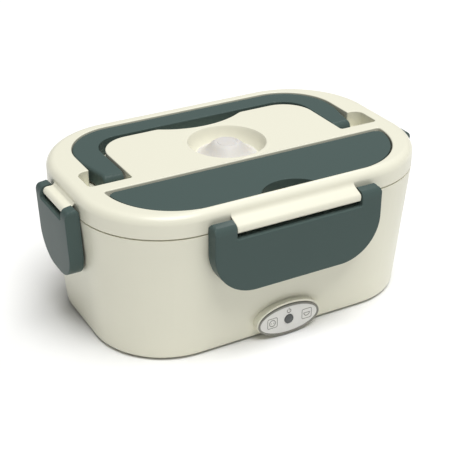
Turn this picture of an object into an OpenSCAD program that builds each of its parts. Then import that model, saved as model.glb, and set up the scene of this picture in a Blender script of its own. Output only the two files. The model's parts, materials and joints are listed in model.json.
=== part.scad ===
// Electric lunch box: heated base with a lift-out tray, a lid with a carrying handle, a cutlery
// compartment and a steam valve, and four swing latches.
// Millimetres. Origin at the bottom centre, +X along the length, +Y to the back, +Z up.

/* [Plan] */
// Length of the rim, along X
rim_l = 224; // [212:1:240]
// Depth of the rim, along Y
rim_d = 146; // [142:1:154]
// Corner radius of the rim in plan
rim_r = 54; // [52:1:57]

/* [Heights] */
// Height of the rubber feet below the base
foot_h = 1.5; // [1:0.1:2.5]
// Height of the seam between base and lid
seam_z = 85; // [82:1:95]
// Height of the lid above the seam
lid_h = 14; // [14:0.5:17]
// Gap at the seam
seam_gap = 0.7; // [0.6:0.1:1]

/* [Shell] */
// Wall thickness of the outer shells
wall = 2.4; // [2:0.1:2.8]
// Draft of the base's walls, in degrees
draft = 4.7; // [3:0.1:5.5]
// Radius of the lid's top edge
lid_edge_r = 5.4; // [4:0.1:6]
// Radius of the base's bottom edge
base_edge_r = 1.8; // [1:0.1:1.9]
// Gap left between pieces that drop or slide into each other
fit_gap = 0.3; // [0.3:0.05:0.4]

/* [Rim stack] */
// Height of the lid's locating skirt below the seam
skirt_h = 4.3; // [3.9:0.1:4.5]
// Thickness of the locating skirt
skirt_t = 1.5; // [1.2:0.1:1.7]
// Gap between the locating skirt and the base's wall
skirt_gap = 0.6; // [0.5:0.05:0.8]
// Thickness of the liner's flange
flange_t = 2; // [1.6:0.1:2.2]
// Depth of the ledge that carries the liner
ledge_w = 3.4; // [2.8:0.1:3.5]

/* [Liner] */
// Wall thickness of the liner
liner_t = 1.7; // [1.4:0.1:2]
// Radius of the liner's inside at the rim, beyond the corner centres
liner_r = 45.5; // [45.3:0.1:45.7]
// How far the liner's wall draws in from rim to floor
liner_taper = 2.4; // [2.2:0.1:2.5]
// Height of the liner's floor, top face
liner_floor_z = 26; // [25.5:0.5:28]
// Thickness of the liner's floor
liner_floor_t = 2; // [1.6:0.1:2.4]

/* [Food tray] */
// Thickness of the steel sheet
tray_t = 0.8; // [0.6:0.1:1]
// Outside radius of the tray's wall at the rim, beyond the corner centres
tray_r = 44; // [43:0.1:44.6]
// How far the tray's wall draws in from rim to floor
tray_taper = 1.8; // [1:0.1:3]
// Width of the tray's rim
tray_rim_w = 4.4; // [3.6:0.1:4.6]
// Height of the tray's floor above the heater
tray_lift_gap = 0.3; // [0.3:0.05:0.4]

/* [Side dish box] */
// Length of the side dish box, along X
box_l = 60; // [48:1:62]
// Depth of the side dish box, along Y
box_d = 100; // [80:1:102]
// Height of the side dish box without its lid
box_h = 38; // [28:1:40]
// Corner radius of the side dish box
box_r = 26; // [24:1:28]
// Wall of the side dish box
box_t = 1.4; // [1.2:0.1:1.8]
// Gap between the side dish box and the tray's inside, along X
box_gap = 11; // [9:0.5:13]

/* [Heater] */
// Margin between the rim's ends and the heated face
hot_margin_x = 37; // [36:0.5:41]

// Margin between the rim's long edges and the heated face
hot_margin_y = 35; // [34:0.5:39]
// Corner radius of the heated face
hot_r = 18; // [14:1:20]
// Width of the plate's flange under the liner
hot_flange = 5; // [4:0.5:5.5]
// Thickness of the plate's flange
hot_flange_t = 2; // [1.6:0.1:2.4]
// How far the heated face stands above the liner's floor
hot_rise = 2.2; // [1.8:0.1:2.6]
// Thickness of the silicone seal under the liner
heater_seal_t = 1; // [0.8:0.1:1.4]
// Thickness of the heating elements
element_t = 3; // [2.4:0.1:3.6]
// Margin between the heated face's ends and the elements
element_margin_x = 22; // [20:1:28]
// Margin between the heated face's long edges and the elements
element_margin_y = 6; // [5:0.5:8]
// Depth of the low voltage element
dc_element_d = 18; // [14:1:20]
// Thickness of the clamp plate
clamp_t = 1.5; // [1.2:0.1:2]

/* [Base fastening] */
// Thickness of the bottom cover
cover_plate_t = 2.5; // [2.2:0.1:3]
// Screws' distance beyond the corner centres, along X
screw_dx = 32; // [30.5:0.5:34]
// Screws' distance beyond the corner centres, along Y
screw_dy = 9; // [6:0.5:12]
// Radius of the screws' shank
screw_r = 1.5; // [1.3:0.05:1.6]
// Radius of the screws' head
screw_head_r = 2.8; // [2.5:0.1:3]
// Radius of the bosses that take the screws
boss_r = 4; // [3.8:0.1:4.3]
// Radius of the feet
foot_r = 6; // [5:0.5:7]
// Feet's distance beyond the corner centres, along X
foot_dx = 14; // [10:1:16]
// Feet's distance beyond the corner centres, along Y
foot_dy = 17; // [14:1:21]

/* [Panel] */
// Half length of the panel boss
panel_a = 22.4; // [21:0.1:24]
// Half height of the panel boss
panel_b = 11.2; // [10.4:0.1:12]
// Height of the panel's centre
panel_z = 12; // [11.5:0.1:13]
// Distance of the panel's face behind the rim's front edge
panel_back = 1.2; // [0.6:0.1:1.8]
// Width of the panel's ring
bezel_w = 1.2; // [1:0.1:1.6]
// Margin of boss left outside the ring
panel_lip = 1.2; // [1:0.1:1.6]
// Depth of the seat for label and ring
label_seat = 0.8; // [0.6:0.1:1]
// Radius of the power light
led_r = 3.1; // [2.5:0.1:3.4]

/* [Sockets] */
// Distance of the two sockets from the middle, along X
socket_x = 18; // [16:1:22]
// Height of the sockets
socket_z = 14; // [13.8:0.1:14.2]
// Half height of the socket recess
socket_recess_r = 7.4; // [7.2:0.1:7.5]
// Wall behind and around the socket recess
socket_wall = 1.6; // [1.4:0.1:1.7]
// Distance of the socket recess's floor in front of the rim's rear edge
socket_in = 8.5; // [8:0.1:9]
// Radius of the low voltage socket's well
dc_well_r = 4; // [3.6:0.1:4.5]
// Depth of the low voltage socket's well
dc_well_h = 10; // [8:0.5:11]
// Depth of the mains inlet's well
ac_well_h = 12; // [10:0.5:13]

/* [Handle] */
// Margin between the rim's ends and the handle's arms
handle_margin_x = 20; // [19:0.5:22]
// Margin between the rim's rear edge and the handle
handle_margin_y = 9.6; // [9:0.1:12]
// Outer corner radius of the handle
handle_r = 33.5; // [30:0.5:35]
// Width of the handle's bar
handle_w = 14.2; // [12:0.1:14.6]
// Thickness of the handle
handle_t = 9.6; // [8.5:0.1:9.8]
// Depth of the handle's top below the lid's top
handle_sink = 1.2; // [0.8:0.1:1.6]
// Distance of the pivot behind the recess's front edge
handle_pivot_in = 13.8; // [13.2:0.1:14.2]
// Radius of the outer top edge of the handle
handle_edge_r = 5; // [3:0.5:6]
// How far the hubs stand out from the arms
hub_out = 5.5; // [4.5:0.1:5.9]
// How far the pivot hubs stand out on the inner side of the arms
hub_in = 1.8; // [1:0.1:2.4]
// Radius of the handle's pins
handle_pin_r = 1.5; // [1.2:0.1:2]

/* [Handle recess] */
// Gap round the outside of the handle
recess_gap = 1.2; // [0.8:0.1:1.4]
// Gap between the handle and the island between its arms
island_gap_x = 3.2; // [2.6:0.1:4]
// Gap between the handle's bar and the island
island_gap_y = 4.8; // [4:0.1:6]
// Corner radius of the island
island_r = 18; // [14:1:20]
// Wall between the cutlery compartment and the handle's recess
recess_web = 9.6; // [8:0.1:11]
// Length of the pockets beside the arms' ends, along Y
pocket_l = 20.9; // [19:0.1:23]
// Depth of the pockets beyond the handle, along X
pocket_w = 9.2; // [8:0.1:10]
// Half width of the finger notch
finger_x = 31; // [26:1:34]
// Depth of the finger notch
finger_d = 9.4; // [7:0.2:10]
// Thickness of the recesses' walls and floors
tub_t = 1.6; // [1.4:0.1:1.8]

/* [Cutlery compartment] */
// Margin between the rim's ends and the cover
cover_margin_x = 17.5; // [16:0.1:22]
// Corner radius of the cover
cover_r = 43.8; // [42:0.1:45]
// Margin between the rim's front edge and the cover
cover_margin_y = 8; // [7.5:0.1:11]
// Depth of the cover, along Y
cover_d = 41.8; // [40:0.1:42.5]
// Radius of the cover's rear corners
cover_corner_r = 5; // [3:0.5:7]
// Gap round the cover
cover_gap = 1.2; // [0.9:0.1:1.4]
// Depth of the cover's top below the lid's top
cover_sink = 1.2; // [0.8:0.1:1.6]
// Thickness of the cover
cover_t = 2.4; // [2:0.1:2.8]
// Height of the cover's skirt below its plate
cover_skirt_h = 3.2; // [2:0.2:4]
// Thickness of the cover's skirt
cover_skirt_t = 1.6; // [1.2:0.1:2]
// Half width of the cover's finger notch
notch_x = 17; // [12:1:20]
// Depth of the cover's finger notch
notch_d = 8.5; // [6:0.5:10]
// Radius of the bead along the cover's rear edge
cover_bead_r = 2.6; // [2.4:0.1:2.8]
// Radius of the cover's hinge pins
cover_pin_r = 1; // [0.8:0.1:1.2]
// Length of a hinge pin inside the bead
cover_pin_in = 7; // [5:0.5:9]
// Height of the compartment's floor above the seam
tub_rise = 1; // [0.8:0.1:1.2]

/* [Cutlery] */
// Margin between the ends of the compartment and the cutlery
cutlery_margin = 20.5; // [17:0.5:30]
// Thickness of the cutlery's sheet
cutlery_t = 1.2; // [1:0.1:1.6]

/* [Steam valve] */
// Web left between the valve's well and the recesses beside it
well_web = 3.8; // [3.4:0.1:6]
// Depth of the valve's well
well_d = 9.6; // [8:0.1:10]
// Radius of the valve's button
valve_cap_r = 6.4; // [5.5:0.1:7.5]
// Gap between the valve's skirt and the well's edge
valve_gap = 5.5; // [5.1:0.1:7]
// Radius of the valve's stem
valve_stem_r = 2.9; // [2.4:0.1:3.2]
// Travel of the valve
valve_travel = 3; // [2:0.5:3]

/* [Latches] */
// Thickness of a latch from face to wall
latch_t = 9; // [8.6:0.1:9.6]
// Gap between a latch and the lid's wall
latch_gap = 0.4; // [0.35:0.05:0.6]
// Height of the latches' pivots above the seam
latch_pivot_h = 3.6; // [3.2:0.1:4.2]
// Sheet thickness of a latch
latch_wall = 2.4; // [2:0.1:2.6]
// Radius of the latches' pins
latch_pin_r = 1.2; // [1:0.05:1.3]
// Running clearance of pins in their bores
pin_fit = 0.05; // [0.03:0.01:0.08]
// Half width of the long latches
long_x = 56.2; // [50.2:1:58.2]
// Height of the long latches' lower edge
long_bottom_z = 46.4; // [44:0.2:52]
// Lower corner radius of the long latches
long_r = 27; // [20:1:28]
// Ear width of the long latches
long_ear = 14; // [11:0.5:16]
// Half width of the short latches
short_x = 23.5; // [21:0.5:26]
// Height of the short latches' lower edge
short_bottom_z = 42; // [40:0.5:48]
// Lower corner radius of the short latches
short_r = 19; // [14:1:20]
// Radius of the top corners of the long latches' ears
long_ear_r = 4.4; // [3:0.2:4.4]

// Radius of the top corners of the short latches' ears
short_ear_r = 3.5; // [2.5:0.5:4]

// Depth of the window in the long latches below the seam
window_drop = 3.1; // [2.8:0.1:3.4]

// How far the short latches lean in at their lower edge
short_lean = 4.2; // [3.4:0.1:4.4]

// Ear width of the short latches
short_ear = 7.5; // [6.5:0.5:8.5]
// How far a catch stands out from the base's wall
catch_h = 1.2; // [0.8:0.1:1.4]
// Height of the catches
catch_z = 66; // [64:0.5:70]

/* [Hidden] */
$fn = 48;

CREAM = "#f4f2df";
GREEN = "#57635f";
STEEL = "#b9bcbe";
SILICONE = "#d2d1c8";

eps = 0.01;        // overlap that keeps joined solids from only touching
cut = 1;           // how far a cut runs past the face it opens
snug = 0.02;       // clearance of a pin in the bore that holds it

// Corner centres shared by every piece that follows the rim
cx = rim_l / 2 - rim_r;
cy = rim_d / 2 - rim_r;
top_z = seam_z + lid_h;
body_top_z = seam_z - seam_gap / 2;
lid_bottom_z = seam_z + seam_gap / 2;

// Distance of the base's outer and inner wall beyond the corner centres, at height z
function wall_out(z) = rim_r - (seam_z - z) * tan(draft);
function wall_in(z) = wall_out(z) - wall;

// Points of an arc about [x, y] from angle a to angle b
function arc(x, y, r, a, b, n = 7) =
  [for (i = [0:n]) [x + r * cos(a + (b - a) * i / n), y + r * sin(a + (b - a) * i / n)]];

// Points of an ellipse
function ellipse(a, b, n = 72) = [for (i = [0:n - 1]) [a * cos(360 * i / n), b * sin(360 * i / n)]];

// Radius of the circle whose arc spans a chord 2w wide and rises d from it
function sagitta_r(w, d) = (w * w + d * d) / (2 * d);

// Places that follow the rim, from the front to the back
cover_front_y = -rim_d / 2 + cover_margin_y;
cover_rear_y = cover_front_y + cover_d;
cover_cx = rim_l / 2 - cover_margin_x - cover_r;
recess_front_y = cover_rear_y + cover_gap + recess_web;
handle_pivot_y = recess_front_y + handle_pivot_in;
pocket_back_y = recess_front_y + pocket_l;
handle_x = rim_l / 2 - handle_margin_x;
handle_y = rim_d / 2 - handle_margin_y;
pocket_x = handle_x + pocket_w;
island_x = handle_x - handle_w - island_gap_x;
island_y = handle_y - handle_w - island_gap_y;
well_front_y = cover_rear_y + cover_gap + well_web;
well_back_y = island_y - finger_d - well_web;
valve_y = (well_front_y + well_back_y) / 2;
well_r = (well_back_y - well_front_y) / 2;
valve_skirt_r = well_r - valve_gap;
panel_y = rim_d / 2 - panel_back;
socket_y = rim_d / 2 - socket_in;
screw_x = cx + screw_dx;
screw_y = cy + screw_dy;
foot_x = cx + foot_dx;
foot_y = cy + foot_dy;
hot_l = rim_l - 2 * hot_margin_x;
hot_d = rim_d - 2 * hot_margin_y;
element_l = hot_l - 2 * element_margin_x;
box_x = cx + tray_r - box_gap - box_l / 2;
cutlery_l = 2 * (cover_cx + cover_r - cutlery_margin);

// Rim stack, from the top down
skirt_bottom_z = lid_bottom_z - skirt_h;
skirt_out = wall_in(seam_z) - skirt_gap;
skirt_in = skirt_out - skirt_t;
tray_rim_r = tray_r + tray_rim_w;
tray_rim_top_z = skirt_bottom_z + 0.1;
flange_top_z = tray_rim_top_z - tray_t - fit_gap;
ledge_z = flange_top_z - flange_t;

// Inner plate of the lid and its seal
plate_t = 1.7;
plate_bottom_z = tray_rim_top_z + 1.1;
plate_top_z = plate_bottom_z + plate_t;
seal_bottom_z = tray_rim_top_z + fit_gap;
seal_h = 1.8;
seal_w = 3.4;
seal_r = tray_r + 0.6;

// Heater stack, from the liner's floor down
liner_under_z = liner_floor_z - liner_floor_t;
hot_top_z = liner_floor_z + hot_rise;
hot_flange_top_z = liner_under_z - heater_seal_t;
hot_under_z = hot_flange_top_z - hot_flange_t;
element_under_z = hot_under_z - element_t;
clamp_under_z = element_under_z - clamp_t;
element_space = 4;
ac_element_d = hot_d - 2 * element_margin_y - element_space - dc_element_d;
ac_element_y = -(dc_element_d + element_space) / 2;
dc_element_y = (ac_element_d + element_space) / 2;
clamp_l = element_l + 24;
clamp_d = ac_element_d + dc_element_d + element_space;
clamp_screw_x = clamp_l / 2 - 6;
clamp_screw_y = clamp_d / 2 - 7;
clamp_boss_r = 3.5;
clamp_screw_r = 1.25;
clamp_screw_l = clamp_t + element_t;
clamp_head_r = 2.4;
clamp_head_h = 1.4;

// Base
base_z = foot_h;
cover_top_z = base_z + cover_plate_t;
cover_out = wall_in(base_z) - fit_gap;
lip_t = 1.6;
lip_w = 2.4;
counterbore = 1.2;
foot_seat = 1;
screw_l = 10;
tray_floor_z = hot_top_z + tray_lift_gap;

// Lid
lid_inner_r = rim_r - wall;
handle_top_z = top_z - handle_sink;
handle_bottom_z = handle_top_z - handle_t;
handle_pivot_z = handle_top_z - handle_t / 2;
handle_floor_z = handle_bottom_z - 0.6;
cover_top = top_z - cover_sink;
cover_floor_z = seam_z + tub_rise;
cover_pin_z = cover_top - cover_bead_r;
cover_pin_y = cover_rear_y - cover_bead_r;
cover_c1y = cover_front_y + cover_r;
cover_c2y = cover_rear_y - cover_corner_r;
cover_k = cover_r - cover_corner_r;
cover_c2x = cover_cx + sqrt(cover_k * cover_k - (cover_c1y - cover_c2y) * (cover_c1y - cover_c2y));
cover_end_x = cover_c2x
  + sqrt(cover_corner_r * cover_corner_r - (cover_pin_y - cover_c2y) * (cover_pin_y - cover_c2y));
well_floor_z = top_z - well_d;
vent_bottom_z = plate_bottom_z + 0.3;
vent_r = 5.4;
barb_top_z = vent_bottom_z - valve_travel - 0.3;

// Latches
pivot_out = latch_gap + latch_t / 2;
pivot_z = seam_z + latch_pivot_h;
ear_r = latch_t / 2;
long_bar = long_x - long_ear - 0.5;
short_bar = short_x - short_ear - 0.5;
roll_r = 2.7;
pin_in_bar = 6;
pin_in_ear_long = 8;
pin_in_ear_short = 5.5;
hook_t = 2.2;

// ---------------------------------------------------------------- shared shapes

// Rounded rectangle given by its half sizes
module rrect(hx, hy, r) {
  square([2 * hx, 2 * (hy - r)], center = true);
  square([2 * (hx - r), 2 * hy], center = true);
  for (sx = [-1, 1], sy = [-1, 1]) translate([sx * (hx - r), sy * (hy - r)]) circle(r);
}

// A profile swept round the rectangle of the corner centres: the profile's x is the distance
// beyond the centres and its y is the height
module rim_sweep() {
  for (q = [[1, 1, 0], [-1, 1, 90], [-1, -1, 180], [1, -1, 270]])
    translate([q[0] * cx, q[1] * cy, 0]) rotate([0, 0, q[2]]) rotate_extrude(angle = 90) children();
  for (s = [0, 180]) rotate([0, 0, s]) {
    translate([cx, cy, 0]) rotate([90, 0, 0]) linear_extrude(2 * cy) children();
    translate([-cx, cy, 0]) rotate([90, 0, 90]) linear_extrude(2 * cx) children();
  }
}

// Block that fills the middle of a swept solid
module rim_core(z0, z1) {
  translate([-cx, -cy, z0]) cube([2 * cx, 2 * cy, z1 - z0]);
}

// Straight-sided slab that follows the rim, r beyond the corner centres
module rim_slab(r, z0, z1) {
  translate([0, 0, z0]) linear_extrude(z1 - z0) rrect(cx + r, cy + r, r);
}

// Puts a child, modelled for the front, on each side: its outward direction is -Y
module on_side(angle, out) {
  rotate([0, 0, angle]) translate([0, -out, 0]) children();
}

// ---------------------------------------------------------------- base

function housing_profile() = concat(
  [[wall_out(body_top_z), body_top_z]],
  arc(wall_out(base_z + base_edge_r) - base_edge_r, base_z + base_edge_r, base_edge_r, 0, -90),
  [[wall_in(base_z), base_z],
   [wall_in(cover_top_z), cover_top_z],
   [wall_in(cover_top_z) - lip_w, cover_top_z],
   [wall_in(cover_top_z) - lip_w, cover_top_z + lip_t],
   [wall_in(cover_top_z + lip_t + lip_w), cover_top_z + lip_t + lip_w],
   [wall_in(ledge_z - ledge_w), ledge_z - ledge_w],
   [wall_in(ledge_z) - ledge_w, ledge_z - 1],
   [wall_in(ledge_z) - ledge_w, ledge_z],
   [wall_in(ledge_z), ledge_z],
   [wall_in(body_top_z), body_top_z]]);

// Upright ellipse whose axis runs along Y, from y0 to y1
module panel_disc(a, b, y0, y1) {
  translate([0, y1, panel_z]) rotate([90, 0, 0]) linear_extrude(y1 - y0) polygon(ellipse(a, b));
}

// The same ellipse run down to the base, clipped at height z
module panel_boss(a, b, y0, y1, z) {
  intersection() {
    panel_disc(a, b, y0, y1);
    translate([-a, y0 - cut, z]) cube([2 * a, y1 - y0 + 2 * cut, 2 * b + cut]);
  }
}

// Long slot with round ends, its axis along Y
module slot_y(half, r, y0, y1, z) {
  translate([0, y1, z]) rotate([90, 0, 0]) linear_extrude(y1 - y0) {
    square([2 * half, 2 * r], center = true);
    for (s = [-1, 1]) translate([s * half, 0]) circle(r);
  }
}

led_board_y = panel_y - 8.4;
led_board_t = 1.6;
led_board_x = 17;
led_board_z0 = cover_top_z + lip_t + lip_w + 0.2;
led_board_h = 14;
led_rail = 1.6;
socket_half = socket_x + 3;

module catch(half) {
  // the ridge that a latch's hook closes under
  translate([-half, -(wall_out(catch_z) + catch_h), catch_z])
    cube([2 * half, catch_h + wall / 2, 2]);
}

module outer_housing() {
  color(CREAM) difference() {
    union() {
      difference() {
        rim_sweep() polygon(housing_profile());
        panel_boss(panel_a - wall, panel_b - wall, -panel_y + wall, -cy, base_z - cut);
        slot_y(socket_half, socket_recess_r, socket_y - socket_wall, cy + rim_r, socket_z);
      }
      difference() {
        panel_boss(panel_a, panel_b, -panel_y, -(cy + wall_in(base_z)), base_z);
        panel_boss(panel_a - wall, panel_b - wall, -panel_y + wall, -cy, cover_top_z);
        rim_slab(cover_out + fit_gap, base_z - cut, cover_top_z);
      }
      difference() {
        slot_y(socket_half, socket_recess_r + socket_wall, socket_y - socket_wall,
          cy + wall_out(socket_z) - wall / 2, socket_z);
        slot_y(socket_half, socket_recess_r, socket_y, cy + rim_r, socket_z);
      }
      for (s = [0, 180]) on_side(s, cy) catch(long_bar - 8);
      for (s = [90, -90]) on_side(s, cx) catch(short_bar - 4);
      for (s = [-1, 1]) translate([s * (led_board_x + led_rail / 2) - led_rail / 2,
          -led_board_y - led_rail, led_board_z0 - 0.4])
        difference() {
          cube([led_rail, 2 * led_rail + led_board_t, led_board_h - 2]);
          translate([s > 0 ? -cut : led_rail / 2, led_rail - snug, -cut])
            cube([cut + led_rail / 2, led_board_t + 2 * snug, led_board_h + 2 * cut]);
        }
    }
    panel_disc(panel_a - panel_lip, panel_b - panel_lip, -panel_y - cut, -panel_y + label_seat);
    translate([0, -panel_y - cut, panel_z]) rotate([-90, 0, 0])
      cylinder(r = led_r + snug, h = 2 * cut + 2 * wall);
    ac_outline_y(snug, socket_y - socket_wall - cut, socket_y + cut);
    translate([-socket_x, socket_y - socket_wall - cut, socket_z]) rotate([-90, 0, 0])
      cylinder(r = dc_well_r + socket_shell + snug, h = socket_wall + 2 * cut);
  }
}

module inner_liner() {
  r = liner_r;
  rb = liner_r - liner_taper;
  floor_z = liner_under_z;
  color(CREAM) difference() {
    union() {
      rim_sweep() polygon([
        [0, floor_z], [rb - 3, floor_z], [rb + liner_t - 1.4, floor_z + 2], [rb + liner_t, floor_z + 6],
        [r + liner_t, flange_top_z - flange_t],
        [wall_in(ledge_z) - fit_gap, flange_top_z - flange_t], [wall_in(ledge_z) - fit_gap, flange_top_z],
        [r, flange_top_z], [rb, liner_floor_z + 6], [rb - 1.4, liner_floor_z + 2], [rb - 3.4, liner_floor_z],
        [0, liner_floor_z]]);
      rim_core(floor_z, liner_floor_z);
      for (sx = [-1, 1], sy = [-1, 1]) translate([sx * screw_x, sy * screw_y, cover_top_z])
        cylinder(r = boss_r, h = floor_z - cover_top_z + eps);
    }
    translate([0, 0, floor_z - cut]) linear_extrude(liner_floor_t + 2 * cut)
      rrect(hot_l / 2, hot_d / 2, hot_r);
    for (sx = [-1, 1], sy = [-1, 1]) translate([sx * screw_x, sy * screw_y, cover_top_z - cut])
      cylinder(r = screw_r + snug, h = screw_l + cut);
  }
}

module bottom_cover() {
  color(CREAM) difference() {
    rim_slab(cover_out, base_z, cover_top_z);
    for (sx = [-1, 1], sy = [-1, 1]) {
      translate([sx * foot_x, sy * foot_y, base_z - cut]) cylinder(r = foot_r + snug, h = cut + foot_seat);
      translate([sx * screw_x, sy * screw_y, base_z - cut]) {
        cylinder(r = screw_head_r + 0.2, h = cut + counterbore);
        cylinder(r = screw_r + 0.1, h = cover_plate_t + 2 * cut);
      }
    }
  }
}

module feet() {
  color("#3a3d3c") for (sx = [-1, 1], sy = [-1, 1]) translate([sx * foot_x, sy * foot_y, 0])
    cylinder(r = foot_r, h = base_z + foot_seat);
}

// Screw with its head down: the head's top face lies at z = 0
module screw_up(r, l, head_r, head_h) {
  difference() {
    union() {
      translate([0, 0, -head_h]) cylinder(r = head_r, h = head_h);
      cylinder(r = r, h = l);
    }
    for (a = [0, 90]) rotate([0, 0, a]) translate([-head_r * 0.7, -0.3, -head_h - cut])
      cube([head_r * 1.4, 0.6, cut + head_h / 2]);
  }
}

module base_screws() {
  color(STEEL) for (sx = [-1, 1], sy = [-1, 1])
    translate([sx * screw_x, sy * screw_y, base_z + counterbore])
      screw_up(screw_r, screw_l + cover_plate_t - counterbore - 0.5, screw_head_r, counterbore - 0.2);
}

// ---------------------------------------------------------------- heater

module heater_plate() {
  color("#c4c6c8") difference() {
    union() {
      translate([0, 0, hot_under_z]) linear_extrude(hot_flange_t)
        rrect(hot_l / 2 + hot_flange, hot_d / 2 + hot_flange, hot_r + hot_flange);
      translate([0, 0, hot_under_z]) linear_extrude(hot_top_z - hot_under_z)
        rrect(hot_l / 2 - fit_gap, hot_d / 2 - fit_gap, hot_r - fit_gap);
      for (sx = [-1, 1], sy = [-1, 1]) translate([sx * clamp_screw_x, sy * clamp_screw_y, element_under_z])
        cylinder(r = clamp_boss_r, h = element_t + eps);
    }
    for (sx = [-1, 1], sy = [-1, 1])
      translate([sx * clamp_screw_x, sy * clamp_screw_y, element_under_z - cut])
      cylinder(r = clamp_screw_r + snug, h = cut + element_t + 1);
  }
}

module heater_seal() {
  color(SILICONE) translate([0, 0, hot_flange_top_z]) linear_extrude(heater_seal_t) difference() {
    rrect(hot_l / 2 + hot_flange - 0.4, hot_d / 2 + hot_flange - 0.4, hot_r + hot_flange - 0.4);
    rrect(hot_l / 2, hot_d / 2, hot_r);
  }
}

tab_out = 5;       // how far the elements' tabs stand out
tab_w = 4.8;
tab_t = 0.8;
ac_tab_x = 34;
dc_tab_x = 20;
element_r = 4;

// Flat element with a terminal tab at each end of its front edge
module element(d, y, tab_x) {
  translate([0, y, element_under_z]) {
    linear_extrude(element_t) rrect(element_l / 2, d / 2, element_r);
    for (s = [-1, 1]) translate([s * tab_x - tab_w / 2, -d / 2 - tab_out, (element_t - tab_t) / 2])
      cube([tab_w, tab_out + 1, tab_t]);
  }
}

module ac_heater() {
  color("#c9a66b") element(ac_element_d, ac_element_y, ac_tab_x);
}

module dc_heater() {
  color("#b98f55") mirror([0, 1, 0]) element(dc_element_d, -dc_element_y, dc_tab_x);
}

module heater_clamp() {
  color(STEEL) translate([0, 0, clamp_under_z]) difference() {
    linear_extrude(clamp_t) difference() {
      rrect(clamp_l / 2, clamp_d / 2, 5);
      for (sx = [-1, 1]) translate([sx * (clamp_l / 4), 0]) rrect(9, clamp_d / 4, 4);
    }
    for (sx = [-1, 1], sy = [-1, 1]) translate([sx * clamp_screw_x, sy * clamp_screw_y, -cut])
      cylinder(r = clamp_screw_r + 0.1, h = clamp_t + 2 * cut);
  }
}

module clamp_screws() {
  color("#8d9194") for (sx = [-1, 1], sy = [-1, 1])
    translate([sx * clamp_screw_x, sy * clamp_screw_y, clamp_under_z])
      screw_up(clamp_screw_r, clamp_screw_l, clamp_head_r, clamp_head_h);
}

thermostat_r = 8;
thermostat_h = 7;
thermostat_x = -8;
thermostat_tab_x = 4;
thermostat_tab_d = 6;
thermostat_tab_h = 4;

module thermostat() {
  color("#2c2c2e") translate([thermostat_x, 0, clamp_under_z]) {
    translate([0, 0, -2]) linear_extrude(2) rrect(12, 4.5, 4.4);
    translate([0, 0, -thermostat_h]) cylinder(r = thermostat_r, h = thermostat_h);
    for (s = [-1, 1])
      translate([s * thermostat_tab_x - tab_t / 2, -thermostat_tab_d / 2, -thermostat_h - thermostat_tab_h])
        cube([tab_t, thermostat_tab_d, thermostat_tab_h + eps]);
  }
}

fuse_x = 16;
fuse_r = 2;

module thermal_fuse() {
  color("#d8d4c4") translate([fuse_x, 0, clamp_under_z - fuse_r]) {
    rotate([90, 0, 0]) cylinder(r = fuse_r, h = 12, center = true);
    rotate([90, 0, 0]) cylinder(r = 0.5, h = 24, center = true);
    translate([-fuse_r - 2, -3.4, 0]) cube([2 * fuse_r + 4, 6.8, fuse_r]);
  }
}

// ---------------------------------------------------------------- sockets

socket_shell = 1.4;
ac_well_x = 6.9;
ac_well_z = 4;
ac_pin_x = 4.3;
ac_pin_r = 1.15;
ac_pin_l = 9;
socket_flange = 0.9;
pin_tail = 4;
ac_pin_y = socket_y - socket_wall - ac_well_h - pin_tail;
dc_pin_y = socket_y - socket_wall - dc_well_h - pin_tail;

// Outline of the mains inlet's body, grown by g, cut or drawn along Y
module ac_outline_y(g, y0, y1) {
  translate([socket_x, 0, 0])
    slot_y(ac_well_x - ac_well_z, ac_well_z + socket_shell + g, y0, y1, socket_z);
}

module ac_inlet() {
  color("#26282a") difference() {
    union() {
      ac_outline_y(0, socket_y - socket_wall - ac_well_h, socket_y);
      translate([socket_x, 0, 0])
        slot_y(ac_well_x - ac_well_z, ac_well_z + 3, socket_y, socket_y + socket_flange, socket_z);
    }
    translate([socket_x, 0, 0])
      slot_y(ac_well_x - ac_well_z, ac_well_z, socket_y + socket_flange - ac_well_h,
        socket_y + cut + socket_flange, socket_z);
    for (s = [-1, 1]) translate([socket_x + s * ac_pin_x, socket_y - socket_wall - ac_well_h - cut, socket_z])
      rotate([-90, 0, 0]) cylinder(r = ac_pin_r + snug, h = ac_well_h);
  }
}

module ac_inlet_pins() {
  color("#c9c9c4") for (s = [-1, 1])
    translate([socket_x + s * ac_pin_x, ac_pin_y, socket_z])
      rotate([-90, 0, 0]) cylinder(r = ac_pin_r, h = pin_tail + socket_wall + socket_flange + ac_pin_l);
}

module dc_socket() {
  color("#26282a") difference() {
    translate([-socket_x, 0, socket_z]) rotate([-90, 0, 0]) {
      translate([0, 0, socket_y - socket_wall - dc_well_h])
        cylinder(r = dc_well_r + socket_shell, h = socket_wall + dc_well_h);
      translate([0, 0, socket_y]) cylinder(r = dc_well_r + 3, h = socket_flange);
    }
    translate([-socket_x, socket_y + socket_flange - dc_well_h, socket_z]) rotate([-90, 0, 0])
      cylinder(r = dc_well_r, h = dc_well_h + cut);
    translate([-socket_x, socket_y - socket_wall - dc_well_h - cut, socket_z]) rotate([-90, 0, 0])
      cylinder(r = 1 + snug, h = dc_well_h + cut);
  }
}

module dc_socket_pin() {
  color("#c9c9c4") translate([-socket_x, dc_pin_y, socket_z])
    rotate([-90, 0, 0]) cylinder(r = 1, h = pin_tail + socket_wall + socket_flange + dc_well_h - 2);
}

// ---------------------------------------------------------------- panel

module panel_bezel() {
  color("#8a8a80") difference() {
    panel_disc(panel_a - panel_lip - 0.05, panel_b - panel_lip - 0.05, -panel_y - 0.4, -panel_y + label_seat);
    panel_disc(panel_a - panel_lip - bezel_w, panel_b - panel_lip - bezel_w, -panel_y - cut, -panel_y + cut);
  }
}

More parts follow.
